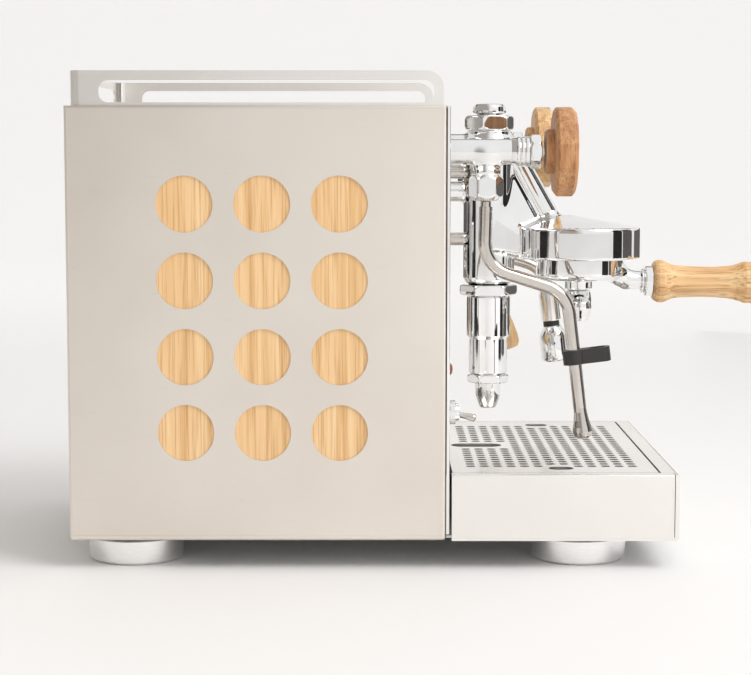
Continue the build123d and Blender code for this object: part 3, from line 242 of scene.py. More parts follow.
# %% Cards
def card(name, middle, width, height, facing_to, colour=(0.004, 0.004, 0.004)):
    """A flat card that only reflections can see."""
    w, h = width / 2, height / 2
    mesh = mesh_from(name, [(-w, 0, -h), (w, 0, -h), (w, 0, h), (-w, 0, h)], [(0, 1, 2, 3)])
    made = new_object(name, mesh)
    made.location = middle
    made.rotation_euler = (Vector(facing_to) - Vector(middle)).to_track_quat("Y", "Z").to_euler()
    made.data.materials.append(plain(name, colour))
    made.visible_camera = False
    made.visible_diffuse = False
    made.visible_shadow = False
    made.visible_transmission = False
    return made


column = sum(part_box("infusion_chamber"), Vector()) / 2


def standing_card(name, turned, wide, away, colour, height, level):
    """A card that stands round the column at an angle from the camera's side, towards the front."""
    angle = math.radians(turned)
    spot = (column.x - away * math.cos(angle), column.y - away * math.sin(angle), level)
    width = 2 * away * math.tan(math.radians(wide / 2))
    return card(name, spot, width, height, (column.x, column.y, level), colour)


standing_card("black_card", 72, 20, 1.25, (0.004, 0.004, 0.004), 1.5, 0.3)
standing_card("grey_card", 97, 26, 1.3, (0.12, 0.115, 0.11), 1.5, 0.3)
standing_card("edge_card", 142, 46, 1.6, (0.12, 0.115, 0.11), 0.55, 0.12)
card("ceiling_edge_card", (1.5, column.y, 1.6), 3.2, 0.5, (0.0, column.y, 0.3), (0.02, 0.02, 0.02))
print("cards built")

# %% [markdown]
# ## The key light
# The world lights everything evenly, which leaves the feet and the grate flat. One large lamp,
# high in front and to the left, adds the soft shadow under the machine. It is over a metre and a
# half wide, because a small lamp would burn a hard spot into the chrome and the brushed steel.


# %% Key light
def soft_light(name, place, aim, size, power, colour=(1, 1, 1)):
    """A large rectangular lamp aimed at a point."""
    lamp = bpy.data.lights.new(name, "AREA")
    lamp.shape = "RECTANGLE"
    lamp.size, lamp.size_y = size
    lamp.energy = power
    lamp.color = colour
    made = bpy.data.objects.new(name, lamp)
    scene.collection.objects.link(made)
    made.location = place
    made.rotation_euler = (Vector(aim) - Vector(place)).to_track_quat("-Z", "Y").to_euler()
    return made


middle = (cad_low + cad_high) / 2
soft_light("key", (-1.2, -1.6, 2.2), middle, (1.6, 1.6), 40, (1.0, 0.995, 0.985))
print("key light set")

# %% [markdown]
# ## Finishes
# Each finish is one function that builds a node material. All of them share one idea: a small
# change in roughness or height, at the scale that the real surface has, is what stops a surface
# from looking like plastic. Brushed sheet has long fine scratches, so its noise is stretched along
# the brushing direction.


# %% Material helpers
def start_material(name):
    """A new node material, its tree, its main shader, and a coordinate node."""
    made = bpy.data.materials.new(name)
    made.use_nodes = True
    tree = made.node_tree
    shader = tree.nodes["Principled BSDF"]
    coords = tree.nodes.new("ShaderNodeTexCoord")
    return made, tree, shader, coords


def stretched_noise(tree, coords, stretch, scale=1.0, detail=4.0, tilt=(0, 0, 0)):
    """Noise in object space, stretched by dividing the coordinates along each axis."""
    mapping = tree.nodes.new("ShaderNodeMapping")
    mapping.inputs["Scale"].default_value = stretch
    mapping.inputs["Rotation"].default_value = tilt
    noise = tree.nodes.new("ShaderNodeTexNoise")
    noise.inputs["Scale"].default_value = scale
    noise.inputs["Detail"].default_value = detail
    tree.links.new(coords.outputs["Object"], mapping.inputs["Vector"])
    tree.links.new(mapping.outputs["Vector"], noise.inputs["Vector"])
    return noise


def spread(tree, source, low, high, socket):
    """Map a 0 to 1 value onto a range and feed it to a socket."""
    ranged = tree.nodes.new("ShaderNodeMapRange")
    ranged.inputs["To Min"].default_value = low
    ranged.inputs["To Max"].default_value = high
    tree.links.new(source, ranged.inputs["Value"])
    tree.links.new(ranged.outputs["Result"], socket)


def bump(tree, source, shader, depth, strength=1.0):
    """Raise the surface by a height map, in metres."""
    node = tree.nodes.new("ShaderNodeBump")
    node.inputs["Distance"].default_value = depth
    node.inputs["Strength"].default_value = strength
    tree.links.new(source, node.inputs["Height"])
    tree.links.new(node.outputs["Normal"], shader.inputs["Normal"])


def two_tone(tree, source, dark, light, socket, low=0.3, high=0.7):
    """Colour ramp from dark to light."""
    ramp = tree.nodes.new("ShaderNodeValToRGB")
    ramp.color_ramp.elements[0].position = low
    ramp.color_ramp.elements[0].color = (*dark, 1)
    ramp.color_ramp.elements[1].position = high
    ramp.color_ramp.elements[1].color = (*light, 1)
    tree.links.new(source, ramp.inputs["Fac"])
    tree.links.new(ramp.outputs["Color"], socket)
    return ramp


finish = {}
print("material helpers ready")

# %% [markdown]
# ## Brushed steel
# The panels, the tray and the cup rail are stainless sheet, brushed with a belt along one
# direction. Each scratch is far too fine to see, but together they smear reflections across the
# brushing. A stretched noise in the roughness and the bump gives the scratches, and anisotropy on
# the shader gives the smear. Slow clouds of tone stop a large panel from looking like paint.


# %% Brushed steel
def brushed_metal(name, dark, light, roughness, along, depth=0.000004, stretch_shine=0.0):
    """Sheet metal with fine scratches along one axis, and slow clouds of tone."""
    made, tree, shader, coords = start_material(name)
    shader.inputs["Metallic"].default_value = 1.0
    if stretch_shine:
        shader.inputs["Anisotropic"].default_value = stretch_shine
        shader.inputs["Anisotropic Rotation"].default_value = 0.25
        lay = tree.nodes.new("ShaderNodeTangent")
        lay.direction_type = "RADIAL"
        lay.axis = "Z"
        tree.links.new(lay.outputs["Tangent"], shader.inputs["Tangent"])
    stretch = [2200.0] * 3
    stretch[along] = 30.0
    scratches = stretched_noise(tree, coords, stretch, detail=3.0)
    clouds = stretched_noise(tree, coords, (7.0, 7.0, 7.0), detail=2.0)
    two_tone(tree, clouds.outputs["Fac"], dark, light, shader.inputs["Base Color"])
    spread(tree, scratches.outputs["Fac"], roughness * 0.82, roughness * 1.2, shader.inputs["Roughness"])
    bump(tree, scratches.outputs["Fac"], shader, depth, 0.35)
    return made


finish["satin_steel"] = brushed_metal(
    "satin_steel", (0.87, 0.84, 0.805), (0.94, 0.91, 0.88), 0.24, 1, stretch_shine=0.5)
finish["brushed_panel"] = brushed_metal(
    "brushed_panel", (0.80, 0.735, 0.665), (0.87, 0.81, 0.745), 0.30, 1, stretch_shine=0.75)
finish["plain_sheet"] = brushed_metal("plain_sheet", (0.50, 0.50, 0.49), (0.58, 0.58, 0.57), 0.42, 1)
print("brushed finishes ready")

# %% [markdown]
# ## Chrome and polished metal
# The group, the valves and the portafilter are plated with chrome over a hand polish, and the
# front panel and the wands are polished steel. A perfect mirror looks false, because polishing
# leaves a haze. So one noise moves both the tone and the roughness by a little. The wands are
# darker and warmer than the chrome. Copper and brass inside the machine take the same recipe.


# %% Polished metal
def polished_metal(name, dark, light, roughness=0.05):
    """Polished metal: nearly a mirror, with faint polishing haze."""
    made, tree, shader, coords = start_material(name)
    shader.inputs["Metallic"].default_value = 1.0
    haze = stretched_noise(tree, coords, (60.0, 60.0, 60.0), detail=5.0)
    two_tone(tree, haze.outputs["Fac"], dark, light, shader.inputs["Base Color"])
    spread(tree, haze.outputs["Fac"], roughness * 0.6, roughness * 1.5, shader.inputs["Roughness"])
    return made


polished_tones = {
    "polished_panel": ((0.86, 0.85, 0.83), (0.90, 0.89, 0.88), 0.06),
    "chrome": ((0.80, 0.80, 0.795), (0.86, 0.86, 0.855), 0.03),
    "wand_steel": ((0.56, 0.52, 0.48), (0.66, 0.62, 0.58), 0.12),
    "copper": ((0.62, 0.33, 0.20), (0.75, 0.44, 0.29), 0.28),
    "brass": ((0.66, 0.48, 0.20), (0.76, 0.57, 0.27), 0.24),
}
for metal, (dark, light, roughness) in polished_tones.items():
    finish[metal] = polished_metal(metal, dark, light, roughness)
print("polished finishes ready:", *polished_tones)

# %% [markdown]
# ## Turned aluminium
# The feet are turned on a lathe, and the tool leaves rings round them. A wave texture would draw
# perfect rings all alike. Noise stretched flat round the upright axis breaks them into short
# streaks, as on the real foot.


# %% Turned aluminium
def turned_metal(name, dark, light, roughness):
    """Turned aluminium: fine rings round the upright axis, broken into short streaks."""
    made, tree, shader, coords = start_material(name)
    shader.inputs["Metallic"].default_value = 1.0
    rings = stretched_noise(tree, coords, (160.0, 160.0, 2400.0), detail=4.0)
    two_tone(tree, rings.outputs["Fac"], dark, light, shader.inputs["Base Color"], 0.35, 0.65)
    spread(tree, rings.outputs["Fac"], roughness * 0.7, roughness * 1.3, shader.inputs["Roughness"])
    bump(tree, rings.outputs["Fac"], shader, 0.00005, 0.5)
    return made


finish["foot_metal"] = turned_metal("foot_metal", (0.90, 0.89, 0.88), (0.98, 0.975, 0.97), 0.32)
print("turned aluminium ready")

# %% [markdown]
# ## Oiled oak
# The boards, the knobs and the handles are oak with a thin coat of oil. Oak shows two scales at
# once: growth bands a few millimetres wide, and short dark pore lines inside them. Two noises
# make them, both stretched along the grain. The bands choose the colour, and the pore lines
# multiply it and press a little groove. Each piece has its own grain direction, and the steam
# side's knob is from a darker board.


# %% Oiled oak
def oak(name, dark, mid, light, grain_axis, tilt=(0, 0, 0), ring_scale=170.0, stretch=26.0,
        pore_tone=(0.62, 0.52, 0.42)):
    """Oiled oak: growth bands and fine dark pore lines, both stretched along the grain."""
    made, tree, shader, coords = start_material(name)
    band_stretch = [ring_scale] * 3
    band_stretch[grain_axis] = ring_scale / stretch
    bands = stretched_noise(tree, coords, band_stretch, detail=3.0, tilt=tilt)
    bands.inputs["Distortion"].default_value = 0.5
    line_stretch = [ring_scale * 5.5] * 3
    line_stretch[grain_axis] = ring_scale / 9
    lines = stretched_noise(tree, coords, line_stretch, detail=3.0, tilt=tilt)
    board_colour = darken_socket(tree, shader, lines, pore_tone)
    tones = two_tone(tree, bands.outputs["Fac"], dark, light, board_colour, 0.30, 0.70)
    centre = tones.color_ramp.elements.new(0.5)
    centre.color = (*mid, 1)
    spread(tree, bands.outputs["Fac"], 0.40, 0.56, shader.inputs["Roughness"])
    bump(tree, lines.outputs["Fac"], shader, 0.00012, 0.5)
    return made


def darken_socket(tree, shader, lines, pore_tone):
    """Multiply the base colour by pale and dark pore lines, and give back the colour's socket."""
    pores = tree.nodes.new("ShaderNodeValToRGB")
    pores.color_ramp.elements[0].position = 0.33
    pores.color_ramp.elements[0].color = (*pore_tone, 1)
    pores.color_ramp.elements[1].position = 0.50
    pores.color_ramp.elements[1].color = (1, 1, 1, 1)
    tree.links.new(lines.outputs["Fac"], pores.inputs["Fac"])
    product = tree.nodes.new("ShaderNodeMix")
    product.data_type = "RGBA"
    product.blend_type = "MULTIPLY"
    product.inputs["Factor"].default_value = 1.0
    tree.links.new(pores.outputs["Color"], product.inputs["B"])
    tree.links.new(product.outputs["Result"], shader.inputs["Base Color"])
    return product.inputs["A"]


finish["oak"] = oak("oak", (0.80, 0.49, 0.22), (0.89, 0.585, 0.295), (0.95, 0.67, 0.37), 2,
                    pore_tone=(0.80, 0.70, 0.60))
finish["oak_along"] = oak("oak_along", (0.66, 0.37, 0.16), (0.82, 0.52, 0.25), (0.92, 0.67, 0.38), 1)
finish["oak_end"] = oak("oak_end", (0.64, 0.36, 0.155), (0.80, 0.50, 0.24), (0.90, 0.65, 0.37), 2,
                        (0.6, 0, 0), 190.0, 10.0)
finish["dark_oak_end"] = oak("dark_oak_end", (0.40, 0.175, 0.068), (0.57, 0.28, 0.12), (0.70, 0.39, 0.185), 2,
                             (0.75, 0, 0), 190.0, 9.0)
finish["dark_oak"] = oak("dark_oak", (0.36, 0.155, 0.06), (0.50, 0.25, 0.11), (0.62, 0.35, 0.17), 2)
print("oak finishes ready")

# %% [markdown]
# ## Rubber and plastic
# The grip on the wand is moulded rubber, and the switch, the ball seats and the tank are plastic.
# Moulded parts have one colour all through. What shows that they are real is the fine skin that
# the mould leaves, so a very fine noise moves the tone, the roughness and the surface a little.


# %% Rubber and plastic
def moulded(name, colour, roughness, grain=900.0, depth=0.00003):
    """Moulded rubber or plastic with a fine skin."""
    made, tree, shader, coords = start_material(name)
    skin = stretched_noise(tree, coords, (grain,) * 3, detail=3.0)
    lighter = tuple(min(1.0, c * 1.25 + 0.004) for c in colour)
    two_tone(tree, skin.outputs["Fac"], colour, lighter, shader.inputs["Base Color"])
    spread(tree, skin.outputs["Fac"], roughness * 0.85, roughness * 1.15, shader.inputs["Roughness"])
    bump(tree, skin.outputs["Fac"], shader, depth, 0.3)
    return made


moulded_tones = {
    "rubber": ((0.022, 0.021, 0.02), 0.48),
    "black_plastic": ((0.03, 0.03, 0.03), 0.42),
    "seat_plastic": ((0.80, 0.79, 0.76), 0.4),
    "tank_plastic": ((0.62, 0.67, 0.70), 0.22),
    "lamp": ((0.22, 0.07, 0.03), 0.12),
    "needle": ((0.01, 0.01, 0.01), 0.4),
}
for stuff, (colour, roughness) in moulded_tones.items():
    finish[stuff] = moulded(stuff, colour, roughness)
print("moulded finishes ready:", *moulded_tones)


# %% Give every CAD part its finish
def give_finish(made, slot_name):
    """Put one finish on an object, in place of whatever it has."""
    made.data.materials.clear()
    made.data.materials.append(finish[slot_name])


for node_name, node_object in nodes.items():
    give_finish(node_object, slot_of_node[node_name])
give_finish(nodes["cup_rail"], "satin_steel")
print("finished", len(nodes), "CAD nodes with", len(finish), "materials")

# %% [markdown]
# ## Cast metal from distances
# The group, the valve bodies and the portafilter neck are castings: thick tubes and ribs that melt
# into each other, then polished and plated. Joining cylinders leaves hard seams, and a remesh leaves
# lumps that chrome shows at once. So a casting is described as a distance: for any point, how far
# it is from the surface. Distances blend smoothly, which gives true fillets. The surface is found
# on a grid, and every point of it is then slid onto the exact surface, with its exact normal.

# %% Distances, in millimetres
import numpy as np

MM = 0.001


def blend(first, second, radius):
    """Union of two shapes with a fillet of about this radius."""
    share = np.clip(0.5 + 0.5 * (second - first) / radius, 0, 1)
    return second + (first - second) * share - radius * share * (1 - share)


def carve(shape, tool, radius):
    """Take the tool away from the shape, with a rounded edge."""
    return -blend(-shape, tool, radius)


def capsule(p, start, end, radius):
    """A rod with round ends."""
    start, end = np.array(start, float), np.array(end, float)
    along = end - start
    share = np.clip((p - start) @ along / (along @ along), 0, 1)
    return np.linalg.norm(p - start - share[:, None] * along, axis=1) - radius


def slab_of(radial, axial, rounding):
    """Meet a sideways distance and an endwise distance in a rounded rim."""
    radial, axial = radial + rounding, axial + rounding
    outside = np.hypot(np.maximum(radial, 0), np.maximum(axial, 0))
    return outside + np.minimum(np.maximum(radial, axial), 0) - rounding


def post(p, x, y, low, high, radius, rounding=1.0):
    """An upright cylinder with rounded rims."""
    radial = np.hypot(p[:, 0] - x, p[:, 1] - y) - radius
    return slab_of(radial, np.abs(p[:, 2] - (low + high) / 2) - (high - low) / 2, rounding)


def barrel(p, x, z, front, back, radius, rounding=1.0):
    """A fore-and-aft cylinder with rounded rims."""
    radial = np.hypot(p[:, 0] - x, p[:, 2] - z) - radius
    return slab_of(radial, np.abs(p[:, 1] - (front + back) / 2) - (back - front) / 2, rounding)


def plate(p, corners, half_thickness, rounding):
    """A flat plate upright in the YZ plane, with the given corners."""
    flat = p[:, 1:]
    best = np.full(len(p), 1e9)
    sign = np.ones(len(p))
    for (ay, az), (by, bz) in zip(corners, corners[1:] + corners[:1]):
        edge = np.array([by - ay, bz - az])
        offset = flat - (ay, az)
        share = np.clip(offset @ edge / (edge @ edge), 0, 1)
        best = np.minimum(best, ((offset - share[:, None] * edge) ** 2).sum(1))
        above, below = flat[:, 1] >= az, flat[:, 1] < bz
        left = edge[0] * offset[:, 1] > edge[1] * offset[:, 0]
        sign = np.where((above & below & left) | (~above & ~below & ~left), -sign, sign)
    return slab_of(sign * np.sqrt(best), np.abs(p[:, 0]) - half_thickness, rounding)


print("distance shapes ready")

# %% [markdown]
# ## From distances to a mesh
# Blender needs points and faces, so the distance is measured on a grid. Each cell that the surface
# crosses gets one point, and the points of neighbouring cells are joined by four-sided faces. The
# points start in the middle of their cells, like a stack of bricks. A few steps along the slope of
# the distance put each one on the true surface, and the same slope is the exact normal there.
# Chrome shows the smallest ripple, so the exact normals matter more than a finer grid would.


# %% From distances to a mesh
def surface_points(distance, low, high, cell):
    """One point in each grid cell that the surface crosses, and the four-sided faces between them."""
    low, high = np.array(low, float), np.array(high, float)
    counts = np.ceil((high - low) / cell).astype(int) + 1
    axes = [low[i] + cell * np.arange(counts[i]) for i in range(3)]
    grid = np.stack(np.meshgrid(*axes, indexing="ij"), -1).reshape(-1, 3)
    inside = (distance(grid) < 0).reshape(counts)
    filled = np.zeros(counts - 1, int)
    for step in np.ndindex(2, 2, 2):
        cut = tuple(slice(s, s + n) for s, n in zip(step, counts - 1))
        filled += inside[cut]
    crossed = (filled > 0) & (filled < 8)
    number = np.full(counts - 1, -1)
    number[crossed] = np.arange(crossed.sum())
    points = low + (np.argwhere(crossed) + 0.5) * cell
    faces = []
    for axis in range(3):
        near = inside.take(range(counts[axis] - 1), axis)
        far = inside.take(range(1, counts[axis]), axis)
        spots = np.argwhere(near != far)
        b, c = (axis + 1) % 3, (axis + 2) % 3
        spots = spots[(spots[:, b] > 0) & (spots[:, c] > 0)]
        spots = spots[(spots[:, b] < counts[b] - 1) & (spots[:, c] < counts[c] - 1)]
        ring = []
        for back_b, back_c in ((1, 1), (0, 1), (0, 0), (1, 0)):
            shifted = spots.copy()
            shifted[:, b] -= back_b
            shifted[:, c] -= back_c
            ring.append(number[tuple(shifted.T)])
        ring = np.stack(ring, 1)
        outward = near[tuple(spots.T)]
        ring[~outward] = ring[~outward][:, ::-1]
        faces.append(ring)
    return points, np.concatenate(faces)


def slope(distance, points, reach=0.02):
    """Direction in which the distance grows fastest."""
    grow = []
    for axis in range(3):
        shift = np.zeros(3)
        shift[axis] = reach
        grow.append((distance(points + shift) - distance(points - shift)) / (2 * reach))
    return np.stack(grow, 1)


slide_steps, least_slope = 8, 0.2


def cast(name, distance, low, high, cell):
    """Make an object from a distance in millimetres, within a box."""
    points, faces = surface_points(distance, low, high, cell)
    for _ in range(slide_steps):
        grow = slope(distance, points)
        step = distance(points) / np.maximum((grow ** 2).sum(1), least_slope)
        points = points - np.clip(step, -cell, cell)[:, None] * grow
    normals = slope(distance, points)
    normals /= np.linalg.norm(normals, axis=1)[:, None]
    mesh = bpy.data.meshes.new(name)
    mesh.from_pydata((points * MM).tolist(), [], faces.tolist())
    mesh.shade_smooth()
    mesh.normals_split_custom_set_from_vertices(normals.tolist())
    print(name, "has", len(points), "points")
    return new_object(name, mesh)


print("casting helper ready")

# %% [markdown]
# ## Turned parts
# Knobs, handles, collars and nozzles come off a lathe, or off a cutter that leaves flats. One
# helper covers both: it carries an outline round an axis in as many steps as the part has sides.
# Twelve steps give the knob's flats and eight give the handle's. A small bevel then softens the
# edges, because a real edge is never perfectly sharp and its highlight is what the eye looks for.


# %% Turning helper
round_sides = 96
few_sides = 32


def turned(name, outline, origin, axis, sides=round_sides, twist=0.0, soften=0.0):
    """Carry an outline of (radius, distance along the axis) in millimetres round an axis."""
    axis = Vector(axis).normalized()
    side = axis.orthogonal().normalized()
    if abs(axis.x) < 0.9:
        side = (Vector((1, 0, 0)) - axis * axis.x).normalized()
    other = axis.cross(side)
    has_flats = sides < few_sides
    reach = 1 / math.cos(math.pi / sides) if has_flats else 1.0
    verts = []
    for i in range(sides):
        angle = 2 * math.pi * (i + 0.5) / sides + math.radians(twist)
        spoke = side * math.cos(angle) + other * math.sin(angle)
        verts += [(Vector(origin) + spoke * r * reach + axis * a) * MM for r, a in outline]
    steps = len(outline)
    closed = outline[0][0] > 0
    spans = steps if closed else steps - 1
    faces = []
    for i in range(sides):
        j = (i + 1) % sides
        for k in range(spans):
            m = (k + 1) % steps
            faces.append((i * steps + k, i * steps + m, j * steps + m, j * steps + k))
    mesh = mesh_from(name, verts, faces, 12 if has_flats else 25)
    made = new_object(name, mesh)
    if soften:
        add_bevel(made, soften)
    return made


def add_bevel(made, width, angle=20, segments=3):
    """Round the sharp edges by a width in millimetres."""
    bevel = made.modifiers.new("edge", "BEVEL")
    bevel.width = width * MM
    bevel.segments = segments
    bevel.limit_method = "ANGLE"
    bevel.angle_limit = math.radians(angle)
    bevel.harden_normals = True
    return bevel


def settle(made, body, slot_name, material=None):
    """Give a piece its body and its finish: the named material, or else the finish of that slot's name."""
    made.data.materials.clear()
    made.data.materials.append(finish[material or slot_name])
    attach(made, body)
    return made


print("turning helper ready")

# %% [markdown]
# ## The group
# The group is the heavy chromed casting that holds the brewing water hot. An upright column stands
# in front of the cabinet. A brace runs down at a slant to the bell, and a smooth web of metal
# closes the space between them. The bell's crown is a low cone pushed off centre, towards the
# brace. The web is as wide as the column where they meet, and narrows gently: a steeper slope
# would turn a dark card into the middle of it.

# %% Group casting
column_y, column_radius = -37.4, 19.7
column_low, column_high = 194.6, 311.0
bell_y, bell_radius = -107.0, 47.0
bell_low, bell_high = 214.8, 239.3
crown_shift, crown_rise, crown_top_radius = 14.0, 9.0, 9.0
brace_top, brace_foot, brace_radius = (0, -53.5, 299.0), (0, -86.0, 242.0), 8.8
web_root_half, web_taper = 20.0, 0.19
web_brace_half, web_brace_taper = 6.5, 0.30
arm_z, boss_z, lever_z = 297.3, 266.0, 211.0
web_corners = [(column_y, 220.0), (-66.0, 214.5), (-76.0, 217.0)]
web_corners += [(-78.0, 242.0), (-48.0, 297.0), (column_y, 302.0)]
wall_gap = -2.6
cheek_reach, cheek_radius, lever_bore = 26.0, 12.0, 5.3


def crown_height(p):
    """Height of the bell's crown over a point: a cone whose small end is off centre."""
    dx, dy = p[:, 0], p[:, 1] - bell_y
    base = bell_radius - 2.5
    shrink = base - crown_top_radius
    a = crown_shift ** 2 - shrink ** 2
    b = 2 * base * shrink - 2 * dy * crown_shift
    c = dx ** 2 + dy ** 2 - base ** 2
    share = (-b + np.sqrt(np.maximum(b * b - 4 * a * c, 0))) / (2 * a)
    return bell_high + crown_rise * np.clip(share, 0, 1)


def bell(p):
    """The bell: a short wide drum with the crown on top."""
    radial = np.hypot(p[:, 0], p[:, 1] - bell_y) - bell_radius
    top = p[:, 2] - crown_height(p)
    drum = carve(radial, -top, 3.0)
    return carve(drum, p[:, 2] - bell_low, 1.6)


def web_half(p):
    """Half the web's thickness: wide as the column at its back, thinner than the brace in front."""
    lean = (brace_top[1] - brace_foot[1]) / (brace_top[2] - brace_foot[2])
    brace_y = brace_top[1] - lean * (brace_top[2] - p[:, 2])
    behind_column = web_root_half - web_taper * np.maximum(column_y - p[:, 1], 0)
    return np.minimum(behind_column, web_brace_half + web_brace_taper * np.maximum(p[:, 1] - brace_y, 0))


def group(p):
    """The whole casting, with its bores."""
    column = post(p, 0, column_y, column_low, column_high, column_radius, 6.0)
    column = blend(column, post(p, 0, column_y, 290, column_high + 2, 17.6, 1.5), 1.5)
    arms = barrel(p, 0, arm_z, column_y, wall_gap, 13.2)
    arms = np.minimum(arms, barrel(p, 0, boss_z, column_y, wall_gap, 8.0))
    web = plate(p, web_corners, web_half(p), 4.0)
    web = blend(web, capsule(p, brace_top, brace_foot, brace_radius), 4.0)
    shape = blend(blend(column, arms, 2.5), web, 1.6)
    shape = blend(shape, bell(p), 4.5)
    cheek = capsule(p, (0, column_y, lever_z), (cheek_reach, column_y, lever_z), cheek_radius)
    shape = blend(shape, cheek, 3.0)
    shape = carve(shape, post(p, 0, bell_y, bell_low - 9, 234.0, 33.3, 0.5), 0.6)
    return carve(shape, capsule(p, (14, column_y, lever_z), (60, column_y, lever_z), lever_bore), 0.6)


group_piece = cast("group_casting", group, (-50, -157, 190), (50, 1, 316), 1.15)
settle(group_piece, "machine", "chrome")
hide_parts("group_body")

# %% [markdown]
# ## Nuts
# A polished nut is a hexagon whose ends are turned to a cone, which leaves the curved edges that
# catch the light. The same distance trick gives them: a hexagon meets a cone in a small round.


# %% Nuts
def hex_nut(name, centre, axis, flats, height, cone=4.0, turn=0.0, edge=0.7):
    """A hexagon nut centred on a point, with both ends turned to a cone."""
    axis = np.array(axis, float)
    side = np.array((1.0, 0, 0)) if abs(axis[0]) < 0.5 else np.array((0, 1.0, 0))
    other = np.cross(axis, side)
    centre = np.array(centre, float)

    def distance(p):
        q = p - centre
        along = np.abs(q @ axis)
        u, v = q @ side, q @ other
        shape = along - height / 2
        for i in range(3):
            angle = math.radians(turn + 60 * i)
            flat = np.abs(u * math.cos(angle) + v * math.sin(angle)) - flats / 2
            shape = carve(shape, -flat, edge)
        rim = (np.hypot(u, v) - flats / 2 * 1.16 + (along - height / 2 + cone / 2) * 0.9) * 0.75
        return carve(shape, -rim, edge)

    reach = flats * 0.62 + height * 0.5
    return cast(name, distance, centre - reach, centre + reach, max(0.55, flats / 44))


bonnet_y, outlet_y = -65.7, -30.0
valve_x, steam_z, water_z = 90.0, 296.8, 300.3
outlet_nut_z = 271.4
for label, x, z in (("steam", -valve_x, steam_z), ("water", valve_x, water_z)):
    bonnet = hex_nut(f"{label}_bonnet_nut", (x, bonnet_y, z), (0, 1, 0), 21.6, 8.4, 3.0)
    settle(bonnet, "machine", "chrome")
    outlet = hex_nut(f"{label}_outlet_nut", (x, outlet_y, outlet_nut_z), (0, 0, 1), 22.5, 20.0, 9.0)
    settle(outlet, "machine", "chrome")
    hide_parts("valve_nuts")
    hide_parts("valve_nuts")
column_nuts = (
    ("mushroom_nut", 318.8, 34.0, 11.0, 4.0, 12, "mushroom_nut"),
    ("infusion_nut", 190.4, 38.8, 8.4, 3.5, 0, "infusion_nut"),
    ("discharge_hex", 121.4, 28.0, 6.5, 3.0, 0, "discharge_nozzle"),
)
for label, z, flats, height, cone, twist, stands_for in column_nuts:
    nut = hex_nut(label + "_polished", (0, column_y, z), (0, 0, 1), flats, height, cone, twist)
    settle(nut, "machine", "chrome")
    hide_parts(stands_for)

# %% [markdown]
# ## Cap and discharge spout
# A domed cap closes the chamber on top of the column, and a short spout drains it at the foot.
# Both are plain lathe work, so each is one outline from the axis to the rim and back.

# %% Cap and discharge spout
cap_outline = [(0, 323.0), (9.5, 323.0), (9.5, 325.0), (12.6, 326.0), (13.0, 327.6), (12.6, 331.0)]
cap_outline += [(11.0, 333.0), (6.0, 333.9), (0, 333.9)]
cap = turned("mushroom_cap_turned", cap_outline, (0, column_y, 0), (0, 0, 1), soften=0.5)
settle(cap, "machine", "chrome")
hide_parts("mushroom_cap")
spout_outline = [(3.0, 112.0), (3.0, 98.4), (5.6, 98.4), (6.6, 99.6), (9.7, 108.0), (9.75, 119.0)]
spout_outline += [(0, 119.0), (0, 112.0)]
spout = turned("discharge_spout", spout_outline, (0, column_y, 0), (0, 0, 1), soften=0.3)
settle(spout, "machine", "chrome")
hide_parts("discharge_nozzle")
print("cap and spout turned, with", len(cap_outline), "and", len(spout_outline), "outline points")

# %% [markdown]
# ## Valve bodies
# Each valve is a plain barrel that comes out of the front panel, with a collar of fine rings where
# the bonnet screws on. Its outlet neck flares out of the barrel in one soft curve, down to the nut.


# %% Valve castings
def valve_casting(label, x, z):
    """One valve body with its collar of rings."""
    def distance(p):
        shape = barrel(p, x, z, -52.0, wall_gap, 9.15, 0.8)
        neck = post(p, x, outlet_y, 279.5, z, 8.4, 0.6)
        flare = post(p, x, outlet_y, 280.5, 284.0, 9.7, 1.2)
        return blend(shape, blend(neck, flare, 5.0), 5.5)

    body = cast(label + "_valve_casting", distance, (x - 13, -56, 276), (x + 13, 1, z + 13), 0.85)
    rings = [(0, 48.0), (9.6, 48.0), (10.4, 51.6), (11.0, 52.4), (11.0, 54.0), (10.4, 54.8), (11.0, 55.4)]
    rings += [(11.0, 57.4), (10.4, 58.0), (11.0, 58.6), (11.0, 60.8), (10.2, 61.4), (0, 61.4)]
    collar = turned(label + "_valve_collar", rings, (x, 0, z), (0, -1, 0), soften=0.25)
    for piece in (body, collar):
        settle(piece, "machine", "chrome")
        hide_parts(label + "_valve_body")


valve_casting("steam", -valve_x, steam_z)
valve_casting("water", valve_x, water_z)

# %% [markdown]
# ## Knobs
# Each valve has a twelve-sided oak knob. The flats are sawn on a wheel with a round hub behind it,
# and the rim is chamfered on both faces. The flats show end grain, so the fine rays run across them.

